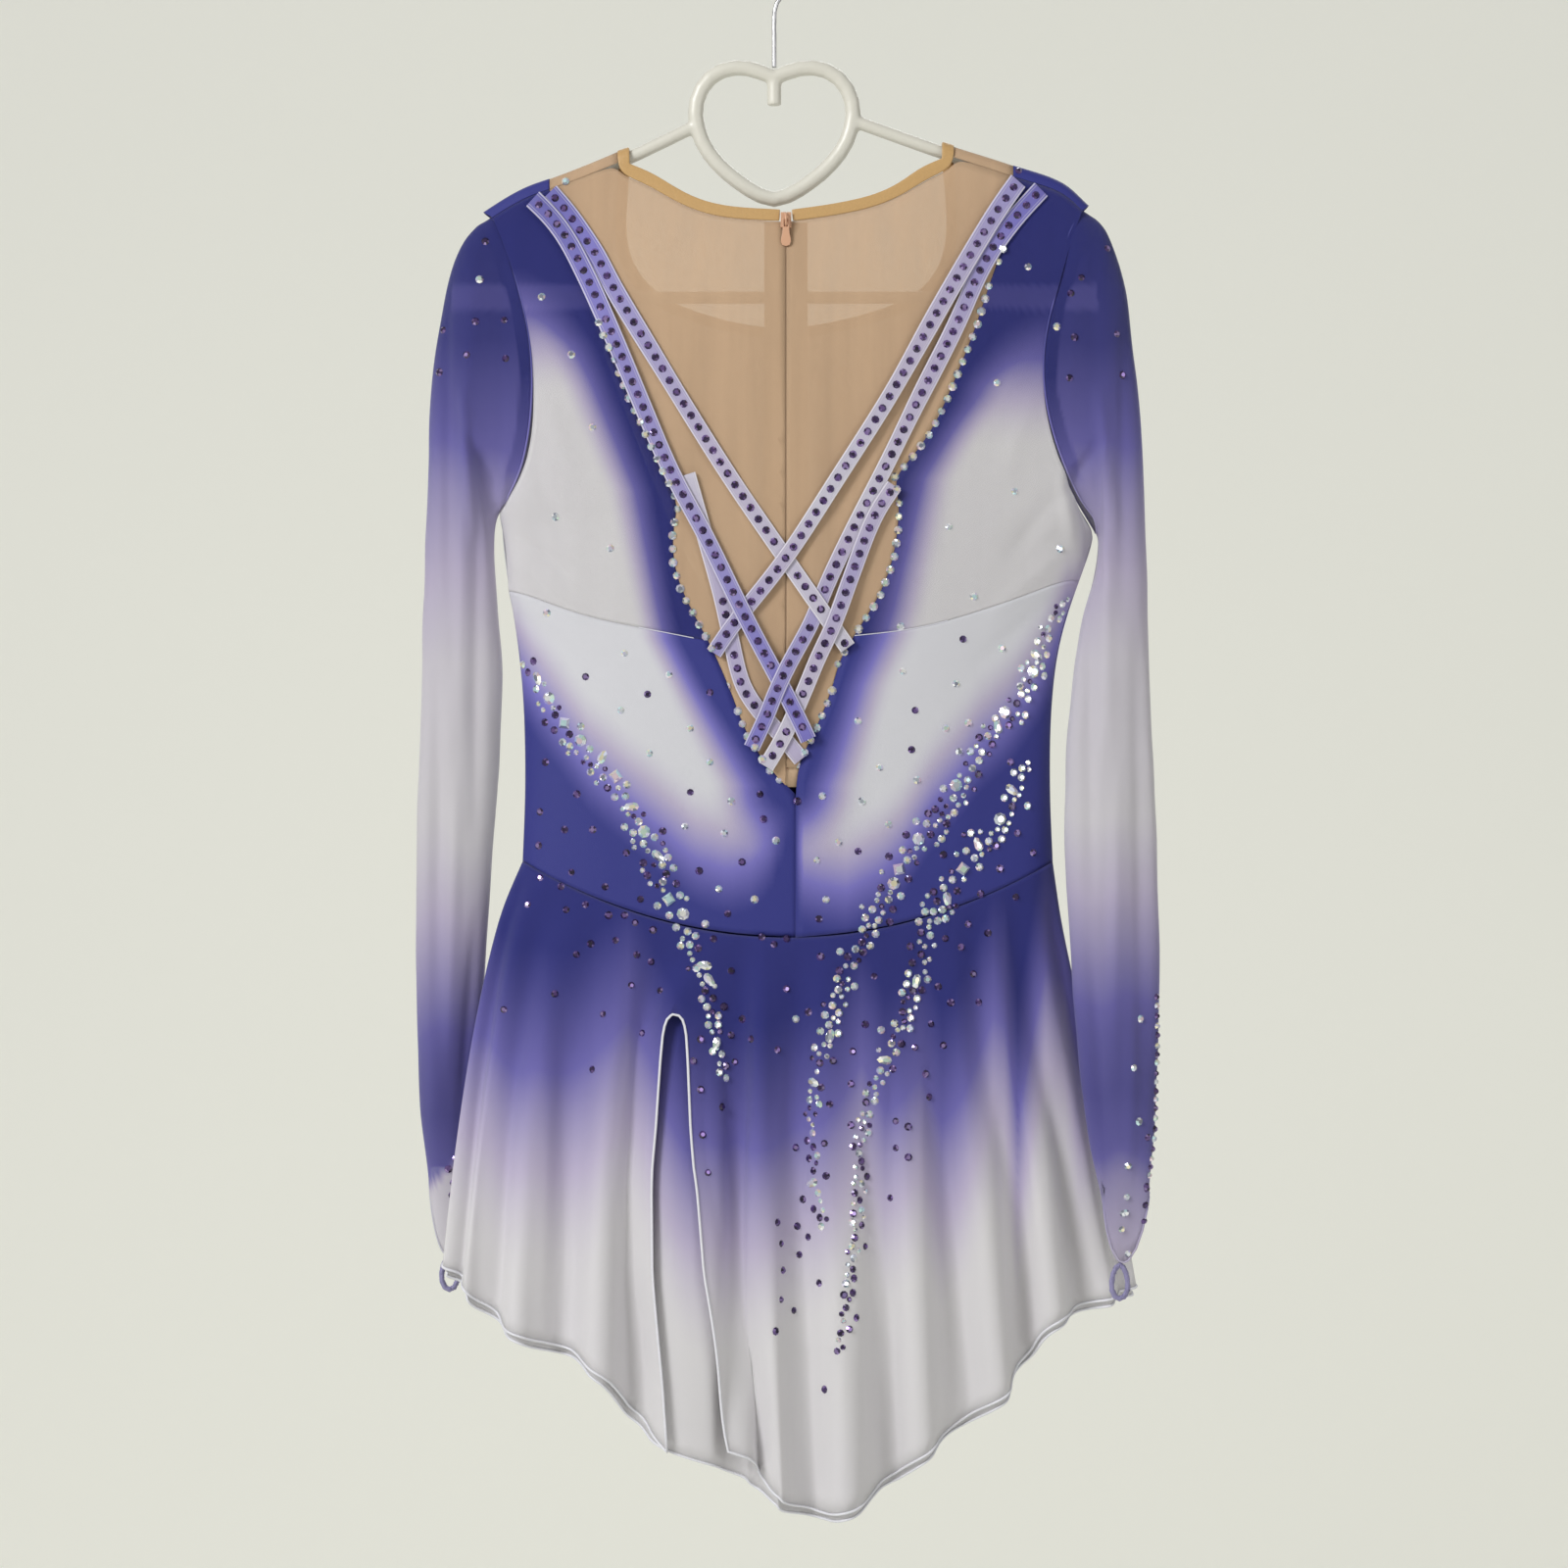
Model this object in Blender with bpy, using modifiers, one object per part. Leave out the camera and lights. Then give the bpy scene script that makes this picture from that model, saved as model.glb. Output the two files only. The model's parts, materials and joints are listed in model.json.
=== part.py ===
"""Figure skating dress on a heart-shaped hanger, its back towards the viewer.

The dress hangs in its own frame: +Z is up, the back of the dress faces -Y, and
the origin is the inside top of the hanger's hook, where a rail bears.  Lengths
in the tables are millimetres.  A place on the bodice is given by how far it
lies across (+X) and how far below the hook it is (its drop).
"""
import math
from collections import namedtuple

import bmesh
import bpy
from mathutils import Matrix, Vector

MM = 0.001

# Cloth and seams
CLOTH_WALL = 1.2
MESH_WALL = 1.0
SKIRT_WALL = 1.0
SEAM_GAP = 0.3

# Bodice form: how far the cloth's inner face stands from the hanging plane
ARCH = 5.2
QUARTER = ARCH * math.pi / 2
SHOULDER_SEAM = QUARTER + 1.0
SHOULDER_SPREAD = 110.0
ARMHOLE_DEPTH = 16.0
ARMHOLE_LEVEL = 255.0
ARMHOLE_SHARES = [0.0, 0.037, 0.12, 0.25, 0.41, 0.58, 0.74, 0.87, 0.96, 1.0]
UNDERARM_CLEAR = 2.9
UNDERARM_LEFT = 334.0
UNDERARM_RIGHT = 348.0

Edge = namedtuple("Edge", "drop across")
Across = namedtuple("Across", "across drop")
Depth = namedtuple("Depth", "drop depth")

SIDE_LEFT = [
    Edge(164, -165), Edge(179, -154), Edge(212, -143), Edge(245, -136), Edge(278, -134),
    Edge(311, -140), Edge(328, -150), Edge(334, -155), Edge(367, -152), Edge(395, -147),
    Edge(421, -143), Edge(480, -141), Edge(540, -143),
]
SIDE_RIGHT = [
    Edge(160, 178), Edge(179, 168), Edge(207, 160), Edge(240, 151), Edge(267, 150),
    Edge(300, 157), Edge(328, 170), Edge(342, 179), Edge(348, 181), Edge(372, 173),
    Edge(395, 164), Edge(427, 158), Edge(480, 156), Edge(540, 158),
]
MIDDLE_DEPTH = [Depth(130, 18), Depth(220, 22), Depth(420, 25), Depth(580, 24)]
SHOULDER_TOP = [
    Across(-170, 167), Across(-165, 164), Across(-151, 155), Across(-138, 148), Across(-117, 141),
    Across(-82, 127), Across(-60, 122), Across(75, 119), Across(95, 124), Across(138, 138),
    Across(162, 146), Across(178, 160), Across(184, 164),
]

# Seams and edges of the bodice
NECK_BACK = [
    Across(-72, 141), Across(-50, 155), Across(-28, 162), Across(6, 164),
    Across(38, 160), Across(66, 152), Across(85, 138),
]
NECK_FRONT = [
    Across(-84, 160), Across(-84, 189), Across(-67, 208), Across(-47, 218), Across(6, 228),
    Across(68, 215), Across(86, 204), Across(98, 189), Across(98, 160),
]
NECK_BACK_DROP = 164.0
NECK_UPRIGHT = 4.0
SLIDER_CLEAR = 0.6
MESH_TOP = 171.0
ZIP_ROW_CROWD = 1.15
NECK_POINT_LEFT = -82.0
NECK_POINT_RIGHT = 95.0
V_TOP_LEFT = -127.0
V_TOP_RIGHT = 135.0
V_BACK_LEFT = [
    Across(-121.5, 164), Across(-116, 179), Across(-111, 193), Across(-106, 207), Across(-96, 235),
    Across(-82, 270), Across(-69, 298), Across(-57, 323), Across(-54, 332), Across(-57, 345),
    Across(-57, 362), Across(-52, 380), Across(-37, 407),
]
V_BACK_LEFT_LOW = [
    Across(-30, 422), Across(-23, 439), Across(-16, 459), Across(-3, 479),
    Across(6, 488),
]
V_BACK_RIGHT = [
    Across(132.5, 166), Across(129, 186), Across(121, 206), Across(114, 230), Across(97, 272),
    Across(88, 290), Across(76, 306), Across(67, 316), Across(70, 328), Across(70, 341),
    Across(67, 362), Across(59, 383), Across(45, 404),
]
V_BACK_RIGHT_LOW = [
    Across(36, 419), Across(32, 437), Across(25, 453), Across(13, 478),
]
V_FRONT_LEFT = [Across(-114, 190), Across(-94, 250), Across(-67, 320), Across(-36, 385), Across(2, 436)]
V_FRONT_RIGHT = [Across(123, 190), Across(104, 250), Across(77, 320), Across(46, 385), Across(9, 436)]
BACK_SEAM_LEFT = [Across(-147, 378), Across(-125, 386), Across(-81, 399), Across(-37, 409)]
BACK_SEAM_RIGHT = [Across(41, 410), Across(76, 402), Across(112, 391), Across(153, 376), Across(173, 372)]
LAP_ACROSS = 12.0
LAP_UNDER = 17.0
LAP_RECESS = 1.75
WAIST_SIDE = 531.5
WAIST_DIP_BACK = 42.0
WAIST_DIP_FRONT = 34.0
WAIST_GAP = 0.6
SHOULDER_COLUMNS = 7
YOKE_COLUMNS = 3
NECK_BACK_POINTS = 7
NECK_FRONT_POINTS = 15
UPPER_ROWS = 14
HOLE_LOW_ROWS = 6
FRONT_HOLE_ROWS = 9
YOKE_STRAP_ROWS = 4
FRONT_LOW_ROWS = 5
FRONT_POINT = (5.5, 436.3)

# Neck binding, zip and straps
BINDING_WIDTH = 6.0
BINDING_CLEAR = BINDING_WIDTH + 0.6
BINDING_WALL = 1.8
ZIP_ACROSS = 6.6
ZIP_TAPE_WIDTH = 24.0
ZIP_TAPE_WALL = 1.0
SLIDER_DROP = 170.5
SLIDER_SIZE = (6.0, 2.2, 9.0)
CROWN_RADIUS = 3.6
WIRE_RADIUS = 0.6
PULL_AXIS_LIFT = 1.5
PULL_LENGTH = 15.5
PULL_WALL = 1.0
STRAP_WIDTH = 9.0
STRAP_WALL = 1.2
STRAP_REST = 1.8
STRAP_STEP = STRAP_WALL + 0.35
STRAP_SPACING = 18.0
STRAP_ROUTES = {
    "left_1": [
        Across(-126.5, 153.5), Across(-118, 163), Across(-108.5, 177), Across(-98.5, 192), Across(-89.5, 210),
        Across(-64, 252), Across(-27, 312), Across(0.5, 352.5), Across(27, 391), Across(41, 411),
    ],
    "left_2": [
        Across(-136, 157.5), Across(-119.5, 175.5), Across(-104.5, 204), Across(-89, 238.5),
        Across(-60.5, 306), Across(-38.5, 347.5), Across(-15.5, 395), Across(7.5, 438.5), Across(19, 462.5),
    ],
    "left_3": [
        Across(-48.5, 314), Across(-43, 333.5), Across(-29, 383), Across(-23, 412), Across(-16, 438.5),
        Across(-4.5, 450.5), Across(5.5, 461.5), Across(15, 473.5),
    ],
    "right_1": [
        Across(137.5, 147.5), Across(125, 165.5), Across(98, 211), Across(70, 261), Across(34, 318.5),
        Across(5.5, 362.5), Across(-22.5, 397.5), Across(-33.5, 414),
    ],
    "right_2": [
        Across(150.5, 152), Across(139, 164.5), Across(127.5, 179), Across(116, 197.5), Across(100, 234),
        Across(69, 296), Across(45, 343), Across(28.5, 377.5), Across(20, 400), Across(5, 425.5),
        Across(-5, 451.5), Across(-12.5, 467),
    ],
    "right_3": [
        Across(67, 320.5), Across(56, 337), Across(44, 368.5), Across(32.5, 400), Across(25.5, 414),
        Across(18, 432.5), Across(5, 462), Across(-4.5, 477.5),
    ],
}
# How many straps lie beneath each one, by the drop of the place
STRAP_LEVELS = {
    "left_1": [(0, 0), (371, 0), (379, 1)],
    "left_2": [(0, 1), (370, 1), (381, 2)],
    "left_3": [(0, 0)],
    "right_1": [(0, 1)],
    "right_2": [(0, 0), (399, 0), (420, 3), (440, 3), (450, 1)],
    "right_3": [(0, 1), (376, 1), (387, 2), (408, 2), (417, 1)],
}

# Skirt
SKIRT_LAYER_GAP_TOP = 0.35
SKIRT_LAYER_GAP_HEM = 1.6
SKIRT_TWIST = 14.0
SKIRT_DEPTH_TOP = 24.0
SKIRT_DEPTH_HEM = 38.0
FOLD_HEIGHT = 11.5
FOLD_COLUMNS = 5
HEM_LIFT = 4.0
SKIRT_LEFT = [Edge(0.0, -143), Edge(0.15, -157), Edge(0.5, -173.5), Edge(1.0, -186)]
SKIRT_RIGHT = [Edge(0.0, 158), Edge(0.15, 163), Edge(0.5, 181.5), Edge(1.0, 205)]
Hem = namedtuple("Hem", "bearing drop")
HEM = [
    Hem(-90, 758), Hem(-72, 770), Hem(-52, 797), Hem(-36, 812), Hem(-26, 838), Hem(-17, 862),
    Hem(-5, 886), Hem(7, 898), Hem(18, 876), Hem(28, 852), Hem(40, 828), Hem(50, 792),
    Hem(66, 782), Hem(90, 776), Hem(120, 760), Hem(180, 748), Hem(240, 752), Hem(270, 758),
]
BACK_CRESTS = [-68, -51, -33, -17.5, -2.8, 9.5, 23, 37.5, 50, 67]
FRONT_CRESTS = [88, 108, 129, 151, 172, 194, 215, 236, 258, 276]
SLIT_BEARING = -17.5
SLIT_TOP = 615.0
SLIT_HALF_ANGLE = 4.6
SLIT_ROUNDED = 0.45
SLIT_REACH = 20.0

# Sleeves
Station = namedtuple("Station", "outer outer_drop inner inner_drop depth shift")
SLEEVE_LEFT = [
    Station(-176, 179, -158, 340, 15, 0), Station(-184, 196, -159, 347, 15.5, 0),
    Station(-190, 229, -159, 356, 15.5, 0.5), Station(-194, 267, -159, 366, 15, 1),
    Station(-196, 311, -158, 379, 14.5, 2.5), Station(-198, 355, -156, 398, 14, 5),
    Station(-200, 405, -153, 424, 13, 8), Station(-202, 454, -155, 462, 12, 12),
    Station(-204, 504, -159, 508, 11, 17), Station(-206, 559, -162, 560, 10.5, 23),
    Station(-206, 614, -166, 614, 10, 27), Station(-205, 655, -171, 656, 9.5, 29),
    Station(-202, 686, -174, 688, 9, 30), Station(-198, 706, -176, 707, 8, 30),
]
SLEEVE_RIGHT = [
    Station(188, 172, 184, 353, 15, 0), Station(195, 191, 184, 359, 15.5, 0),
    Station(201, 223, 183, 367, 15.5, -0.5), Station(205, 262, 181, 376, 15, -1),
    Station(208, 306, 177, 388, 14.5, -2.5), Station(210, 355, 172, 405, 14, -5),
    Station(212, 405, 168, 430, 13, -9), Station(213, 454, 164, 467, 12, -14),
    Station(215, 504, 162, 508, 11, -21), Station(216, 559, 163, 556, 10.5, -28),
    Station(216, 614, 166, 606, 10, -33), Station(214, 658, 170, 653, 9.5, -34),
    Station(212, 690, 175, 688, 9, -34), Station(209, 712, 182, 712, 8, -33),
]
CUFF_POINT = {"left": 50.0, "right": 44.0}
POINT_FAR = 0.75
POINT_NEAR = 0.25
POINT_AT = {"left": POINT_FAR, "right": POINT_NEAR}
CUFF_SLANT = [0.1, 0.35, 1.0]
LOOP_RADIUS = 1.2
LOOP_WIDTH = 13.0
LOOP_LENGTH = 19.0
LOOP_BELOW = 0.75

# Rounds of a sleeve: share of the way from the outer to the underarm edge, and -1 back or 1 front
RING = [(share, -1) for share in reversed(ARMHOLE_SHARES)] + [(share, 1) for share in ARMHOLE_SHARES[1:-1]]

# Hanger
HEART_TUBE = 4.6
ARM_TUBE = 3.85
ARM_SEAT = 4.75
WIRE_HOOK = 1.35
HOOK_INSIDE = 18.0
HEART_HALF = [
    Across(0, 87.5), Across(10, 83.5), Across(20, 82), Across(29, 83.5), Across(37, 88.5),
    Across(43, 98), Across(44.5, 110), Across(40, 125.5), Across(29, 139.5), Across(14, 151),
    Across(5, 155.5), Across(0, 156.5),
]
HEART_PEG = (87.0, 103.5)
HOOK_FOOT = 82.0
ARM_TIP_LEFT = [
    Across(-151, 167), Across(-161.5, 176), Across(-169.5, 186.5), Across(-172, 197),
    Across(-168, 207), Across(-158, 212),
]
ARM_TIP_RIGHT = [
    Across(155, 153), Across(167, 163), Across(175, 176), Across(178, 192),
    Across(174, 206), Across(163, 212),
]
BAR_DROP = 212.0

Finish = namedtuple("Finish", "red green blue roughness")
BLUE = Finish(0.05, 0.06, 0.30, 0.6)
VIOLET = Finish(0.28, 0.25, 0.55, 0.55)
PALE = Finish(0.72, 0.71, 0.78, 0.6)
NUDE = Finish(0.60, 0.38, 0.24, 0.65)
BINDING = Finish(0.55, 0.36, 0.16, 0.55)
PLASTIC = Finish(0.86, 0.86, 0.85, 0.4)
STEEL = Finish(0.70, 0.70, 0.70, 0.25)


def clear_scene():
    for obj in list(bpy.data.objects):
        bpy.data.objects.remove(obj, do_unlink=True)


def smooth(t):
    """Ease from 0 to 1 while t goes from 0 to 1."""
    t = min(1.0, max(0.0, t))
    return t * t * (3 - 2 * t)


def slopes_of(xs, ys):
    """Slopes for a curve through the points that never overshoots them."""
    steps = [(y1 - y0) / (x1 - x0) for x0, x1, y0, y1 in zip(xs, xs[1:], ys, ys[1:])]
    slopes = [steps[0]]
    for before, after in zip(steps, steps[1:]):
        slopes.append(0.0 if before * after <= 0 else 2 * before * after / (before + after))
    return slopes + [steps[-1]]


def rule(rows):
    """A smooth function through rows of (at, value), level beyond its ends."""
    xs = [row[0] for row in rows]
    ys = [row[1] for row in rows]
    slopes = slopes_of(xs, ys)

    def value(x):
        if x <= xs[0]:
            return ys[0]
        if x >= xs[-1]:
            return ys[-1]
        i = max(k for k in range(len(xs) - 1) if xs[k] <= x)
        span = xs[i + 1] - xs[i]
        t = (x - xs[i]) / span
        start = (1 + 2 * t) * (1 - t) ** 2 * ys[i] + t * (1 - t) ** 2 * span * slopes[i]
        end = t * t * (3 - 2 * t) * ys[i + 1] + t * t * (t - 1) * span * slopes[i + 1]
        return start + end

    return value


side_left = rule(SIDE_LEFT)
side_right = rule(SIDE_RIGHT)
middle_depth = rule(MIDDLE_DEPTH)
shoulder_outside = rule(SHOULDER_TOP)
hem_drop = rule(HEM)
skirt_left = rule(SKIRT_LEFT)
skirt_right = rule(SKIRT_RIGHT)


def shoulder(across):
    """Drop of the shoulder line's inner face."""
    return shoulder_outside(across) + CLOTH_WALL * 1.1


def armhole_depth(drop, underarm):
    """How far the armhole seam stands from the hanging plane; nothing at the underarm."""
    if drop <= ARMHOLE_LEVEL:
        return ARMHOLE_DEPTH
    t = min(1.0, (drop - ARMHOLE_LEVEL) / (underarm - ARMHOLE_LEVEL))
    return ARMHOLE_DEPTH * math.sqrt(1 - t * t)


def half_depth(across, drop):
    """How far the bodice's inner face stands from the hanging plane below the shoulder's arch."""
    left = side_left(drop) + CLOTH_WALL * smooth((drop - UNDERARM_LEFT + 10) / 20)
    right = side_right(drop) - CLOTH_WALL * smooth((drop - UNDERARM_RIGHT + 10) / 20)
    middle = (left + right) / 2
    share = min(1.0, max(-1.0, (across - middle) / ((right - left) / 2)))
    underarm = UNDERARM_LEFT if share < 0 else UNDERARM_RIGHT
    edge = armhole_depth(drop, underarm)
    roundness = 1 - 0.5 * smooth((drop - ARMHOLE_LEVEL) / (underarm - ARMHOLE_LEVEL))
    full = edge + (middle_depth(drop) - edge) * (1 - share * share) ** roundness
    spread = smooth((drop - shoulder(across) - ARCH) / SHOULDER_SPREAD)
    return ARCH + (full - ARCH) * spread


def reach(across, drop):
    """Length of cloth from the shoulder's top line down to a drop."""
    below = max(0.0, drop - shoulder(across))
    if below >= ARCH:
        return QUARTER + below - ARCH
    return ARCH * math.acos(1 - below / ARCH)


def back(spot):
    return Vector((spot.across, -reach(spot.across, spot.drop)))


def front(spot):
    return Vector((spot.across, reach(spot.across, spot.drop)))


def place(across, run, inward=0.0):
    """Point on the bodice's inner face; run is the cloth's length over the shoulder, + in front."""
    facing = 1 if run > 0 else -1
    length = abs(run)
    if length < QUARTER:
        below = ARCH * (1 - math.cos(length / ARCH))
        out = ARCH * math.sin(length / ARCH)
    else:
        below = ARCH + length - QUARTER
        out = half_depth(across, shoulder(across) + below)
    out = max(out - inward, SEAM_GAP / 2)
    return Vector((across, facing * out, -(shoulder(across) + below)))


def outward(across, run):
    """Unit normal of the bodice's face, pointing away from the body."""
    step = 0.5
    along = place(across + step, run) - place(across - step, run)
    down = place(across, run + step) - place(across, run - step)
    return along.cross(down).normalized()


def spline(points, count, closed=False):
    """Evenly spaced points on a smooth curve through the given ones."""
    fine = []
    total = len(points)
    spans = total if closed else total - 1
    for i in range(spans):
        if closed:
            p0, p1, p2, p3 = (points[(i + k) % total] for k in (-1, 0, 1, 2))
        else:
            p1, p2 = points[i], points[i + 1]
            p0 = points[i - 1] if i else p1 * 2 - p2
            p3 = points[i + 2] if i + 2 < total else p2 * 2 - p1
        for k in range(16):
            t = k / 16
            fine.append(0.5 * (
                p1 * 2 + (p2 - p0) * t + (p0 * 2 - p1 * 5 + p2 * 4 - p3) * t * t
                + (p1 * 3 - p0 - p2 * 3 + p3) * t * t * t))
    fine.append((points[0] if closed else points[-1]).copy())
    lengths = [0.0]
    for a, b in zip(fine, fine[1:]):
        lengths.append(lengths[-1] + (b - a).length)
    last = count if closed else count - 1
    return [at_length(fine, lengths, lengths[-1] * i / last) for i in range(count)]


def at_length(points, lengths, wanted):
    for i in range(len(points) - 1):
        if lengths[i + 1] >= wanted or i == len(points) - 2:
            span = max(lengths[i + 1] - lengths[i], 1e-9)
            return points[i].lerp(points[i + 1], min(1.0, (wanted - lengths[i]) / span))
    return points[-1]


def fractions_from_side(count):
    """Column places that crowd at the side seam, where the cloth turns round."""
    return [1 - math.cos(math.pi / 2 * i / (count - 1)) for i in range(count)]


def fractions_both_sides(count):
    return [0.5 - 0.5 * math.cos(math.pi * i / (count - 1)) for i in range(count)]


def pick(points, fractions):
    """Points at these fractions of a polyline's length."""
    lengths = [0.0]
    for a, b in zip(points, points[1:]):
        lengths.append(lengths[-1] + (b - a).length)
    return [at_length(points, lengths, lengths[-1] * f) for f in fractions]


def patch(top, bottom, left, right, across):
    """Rows of cloth coordinates between four edges that meet at their corners."""
    rows = []
    for j in range(len(left)):
        v = j / (len(left) - 1)
        row = []
        for i, u in enumerate(across):
            edges = top[i] * (1 - v) + bottom[i] * v + left[j] * (1 - u) + right[j] * u
            corners = (top[0] * (1 - v) + bottom[0] * v) * (1 - u) + (top[-1] * (1 - v) + bottom[-1] * v) * u
            row.append(edges - corners)
        rows.append(row)
    return rows


def finish_of(obj, finish):
    material = bpy.data.materials.new(obj.name)
    material.use_nodes = True
    shader = material.node_tree.nodes["Principled BSDF"]
    shader.inputs["Base Color"].default_value = (finish.red, finish.green, finish.blue, 1)
    shader.inputs["Roughness"].default_value = finish.roughness
    shader.inputs["Metallic"].default_value = 1.0 if finish is STEEL else 0.0
    obj.data.materials.clear()
    obj.data.materials.append(material)


def link(name, data, finish):
    obj = bpy.data.objects.new(name, data)
    DRESS.objects.link(obj)
    finish_of(obj, finish)
    return obj


def sheet(name, grids, wall, finish, closed=False):
    """Cloth through grids of points, welded where they share a row, its wall on the outer side."""
    work = bmesh.new()
    for grid in grids:
        verts = [[work.verts.new(point * MM) for point in row] for row in grid]
        columns = len(grid[0]) - (0 if closed else 1)
        for upper, lower in zip(verts, verts[1:]):
            for i in range(columns):
                k = (i + 1) % len(upper)
                work.faces.new((upper[i], lower[i], lower[k], upper[k]))
    bmesh.ops.remove_doubles(work, verts=work.verts, dist=1e-5)
    mesh = bpy.data.meshes.new(name)
    work.to_mesh(mesh)
    work.free()
    obj = link(name, mesh, finish)
    thickness = obj.modifiers.new("Wall", "SOLIDIFY")
    thickness.thickness = wall * MM
    thickness.offset = 1
    obj.data.shade_smooth()
    return obj


def on_bodice(rows, facing, inward=None):
    """Rows of cloth coordinates as points, in the order that turns the faces outwards."""
    grid = []
    for row in rows:
        points = [place(spot.x, spot.y, inward(spot.x, spot.y) if inward else 0.0) for spot in row]
        grid.append(points if facing == "back" else list(reversed(points)))
    return grid


def seam_spots(start, end, count, run):
    return [Vector((start + (end - start) * i / (count - 1), run)) for i in range(count)]


def over_shoulder(spots, edge=None):
    """Rows over the shoulder's arch above a front top edge that starts at an armhole, if it has one."""
    rows = []
    for run in ARCH_RUNS:
        shift = armhole_top(edge, run) - armhole_top(edge, QUARTER) if edge else 0.0
        first, last = spots[0].x, spots[-1].x
        if edge == "right":
            first, last = last, first
        row = []
        for spot in spots:
            share = (spot.x - last) / (first - last)
            row.append(Vector((spot.x + shift * share, run)))
        rows.append(row)
    return rows


ARCH_RUNS = [-SHOULDER_SEAM] + [QUARTER * k / 3 for k in (-2, -1, 0, 1, 2, 3)]


def armhole_drops(side):
    """Drops of the points that the sleeve and the bodice share along an armhole."""
    top = shoulder(SIDE_LEFT[0].across if side == "left" else SIDE_RIGHT[0].across)
    underarm = UNDERARM_LEFT if side == "left" else UNDERARM_RIGHT
    return [top + (underarm - top) * share for share in ARMHOLE_SHARES]


def side_across(side, drop):
    """Place of the armhole or side seam; the side seam's inner face lies a wall further in."""
    if side == "left":
        return side_left(drop) + CLOTH_WALL * smooth((drop - UNDERARM_LEFT + 10) / 20)
    return side_right(drop) - CLOTH_WALL * smooth((drop - UNDERARM_RIGHT + 10) / 20)


def armhole_top(side, run):
    """Place of the armhole's edge at a length of cloth from the shoulder's top."""
    tip = SIDE_LEFT[0].across if side == "left" else SIDE_RIGHT[0].across
    length = abs(run)
    below = ARCH * (1 - math.cos(length / ARCH)) if length < QUARTER else ARCH + length - QUARTER
    return side_across(side, shoulder(tip) + below)


def side_spots(side, top_run, bottom, below_underarm, facing):
    """The armhole and side seam from the shoulder to a drop, as cloth coordinates."""
    turn = back if facing == "back" else front
    spots = [Vector((armhole_top(side, top_run), top_run))]
    drops = armhole_drops(side)[2:]
    underarm = drops[-1]
    drops += [underarm + (bottom - underarm) * (i + 1) / below_underarm for i in range(below_underarm)]
    return spots + [turn(Across(side_across(side, drop), drop)) for drop in drops]


def waist_drop(bearing):
    """Drop of the waist seam at a bearing round the body; 0 is the middle back, 180 the front."""
    around = math.cos(math.radians(bearing))
    dip = WAIST_DIP_BACK if around > 0 else WAIST_DIP_FRONT
    return WAIST_SIDE + dip * around * around


def waist_spots(fractions, facing):
    spots = []
    for f in fractions:
        bearing = -90 + 180 * f
        across = waist_across(bearing)
        drop = waist_drop(bearing if facing == "back" else 180 - bearing) - WAIST_GAP / 2
        spots.append((back if facing == "back" else front)(Across(across, drop)))
    return spots


def waist_across(bearing):
    left = side_left(WAIST_SIDE) + CLOTH_WALL
    right = side_right(WAIST_SIDE) - CLOTH_WALL
    return (left + right) / 2 + (right - left) / 2 * math.sin(math.radians(bearing))


def shifted(spots, across):
    return [Vector((spot.x + across, spot.y)) for spot in spots]


def lowered(spots, run):
    return [Vector((spot.x, spot.y + run)) for spot in spots]


def hole_upper(side):
    """Keyhole's edge from the shoulder seam to the seam across the back."""
    top = V_TOP_LEFT if side == "left" else V_TOP_RIGHT
    edge = V_BACK_LEFT if side == "left" else V_BACK_RIGHT
    return [Vector((top, -(SHOULDER_SEAM + SEAM_GAP)))] + [back(spot) for spot in edge]


def hole_lower(side):
    """Keyhole's edge below the seam across the back."""
    edge = V_BACK_LEFT_LOW if side == "left" else V_BACK_RIGHT_LOW
    start = hole_upper(side)[-1] - Vector((0, SEAM_GAP))
    return spline([start] + [back(spot) for spot in edge], HOLE_LOW_ROWS)


def across_back(side):
    """Points of the seam across the back that the upper and the lower back share."""
    rows = BACK_SEAM_LEFT if side == "left" else BACK_SEAM_RIGHT
    spots = [back(spot) for spot in rows]
    hole = hole_upper(side)[-1]
    outer = back(Across(side_across(side, seam_end(side)), seam_end(side)))
    if side == "left":
        return pick(spline([outer] + spots[1:-1] + [hole], 30), seam_shares(side))
    return pick(spline([hole] + spots[1:-1] + [outer], 30), seam_shares(side))


def seam_shares(side):
    share = fractions_from_side(SHOULDER_COLUMNS)
    return share if side == "left" else [1 - f for f in reversed(share)]


def shoulder_seam_spots(side, run):
    """Points of the shoulder seam between the armhole and the keyhole's edge."""
    inner = V_TOP_LEFT if side == "left" else V_TOP_RIGHT
    spots = [Vector((x, run)) for x in crowded(armhole_top(side, run), inner, SHOULDER_COLUMNS)]
    return spots if side == "left" else list(reversed(spots))


def back_upper(side):
    """Sheer upper back: shoulder seam, armhole, seam across the back and the keyhole's edge."""
    top_run = -(SHOULDER_SEAM + SEAM_GAP)
    hole = hole_upper(side)
    armhole = side_spots(side, top_run, seam_end(side), UPPER_ROWS - len(ARMHOLE_SHARES) + 1, "back")
    left, right = (armhole, hole) if side == "left" else (hole, armhole)
    grid = patch(shoulder_seam_spots(side, top_run), across_back(side), left, right, seam_shares(side))
    sheet("back_upper_" + side, [on_bodice(grid, "back")], CLOTH_WALL, BLUE)


def seam_end(side):
    return BACK_SEAM_LEFT[0].drop if side == "left" else BACK_SEAM_RIGHT[-1].drop


def lap(across, run):
    """The left lower back dips under the right one's edge below the keyhole."""
    drop = shoulder(across) + abs(run) - QUARTER + ARCH
    return LAP_RECESS * smooth((across + 22) / 30) * smooth((drop - 478) / 9)


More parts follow.
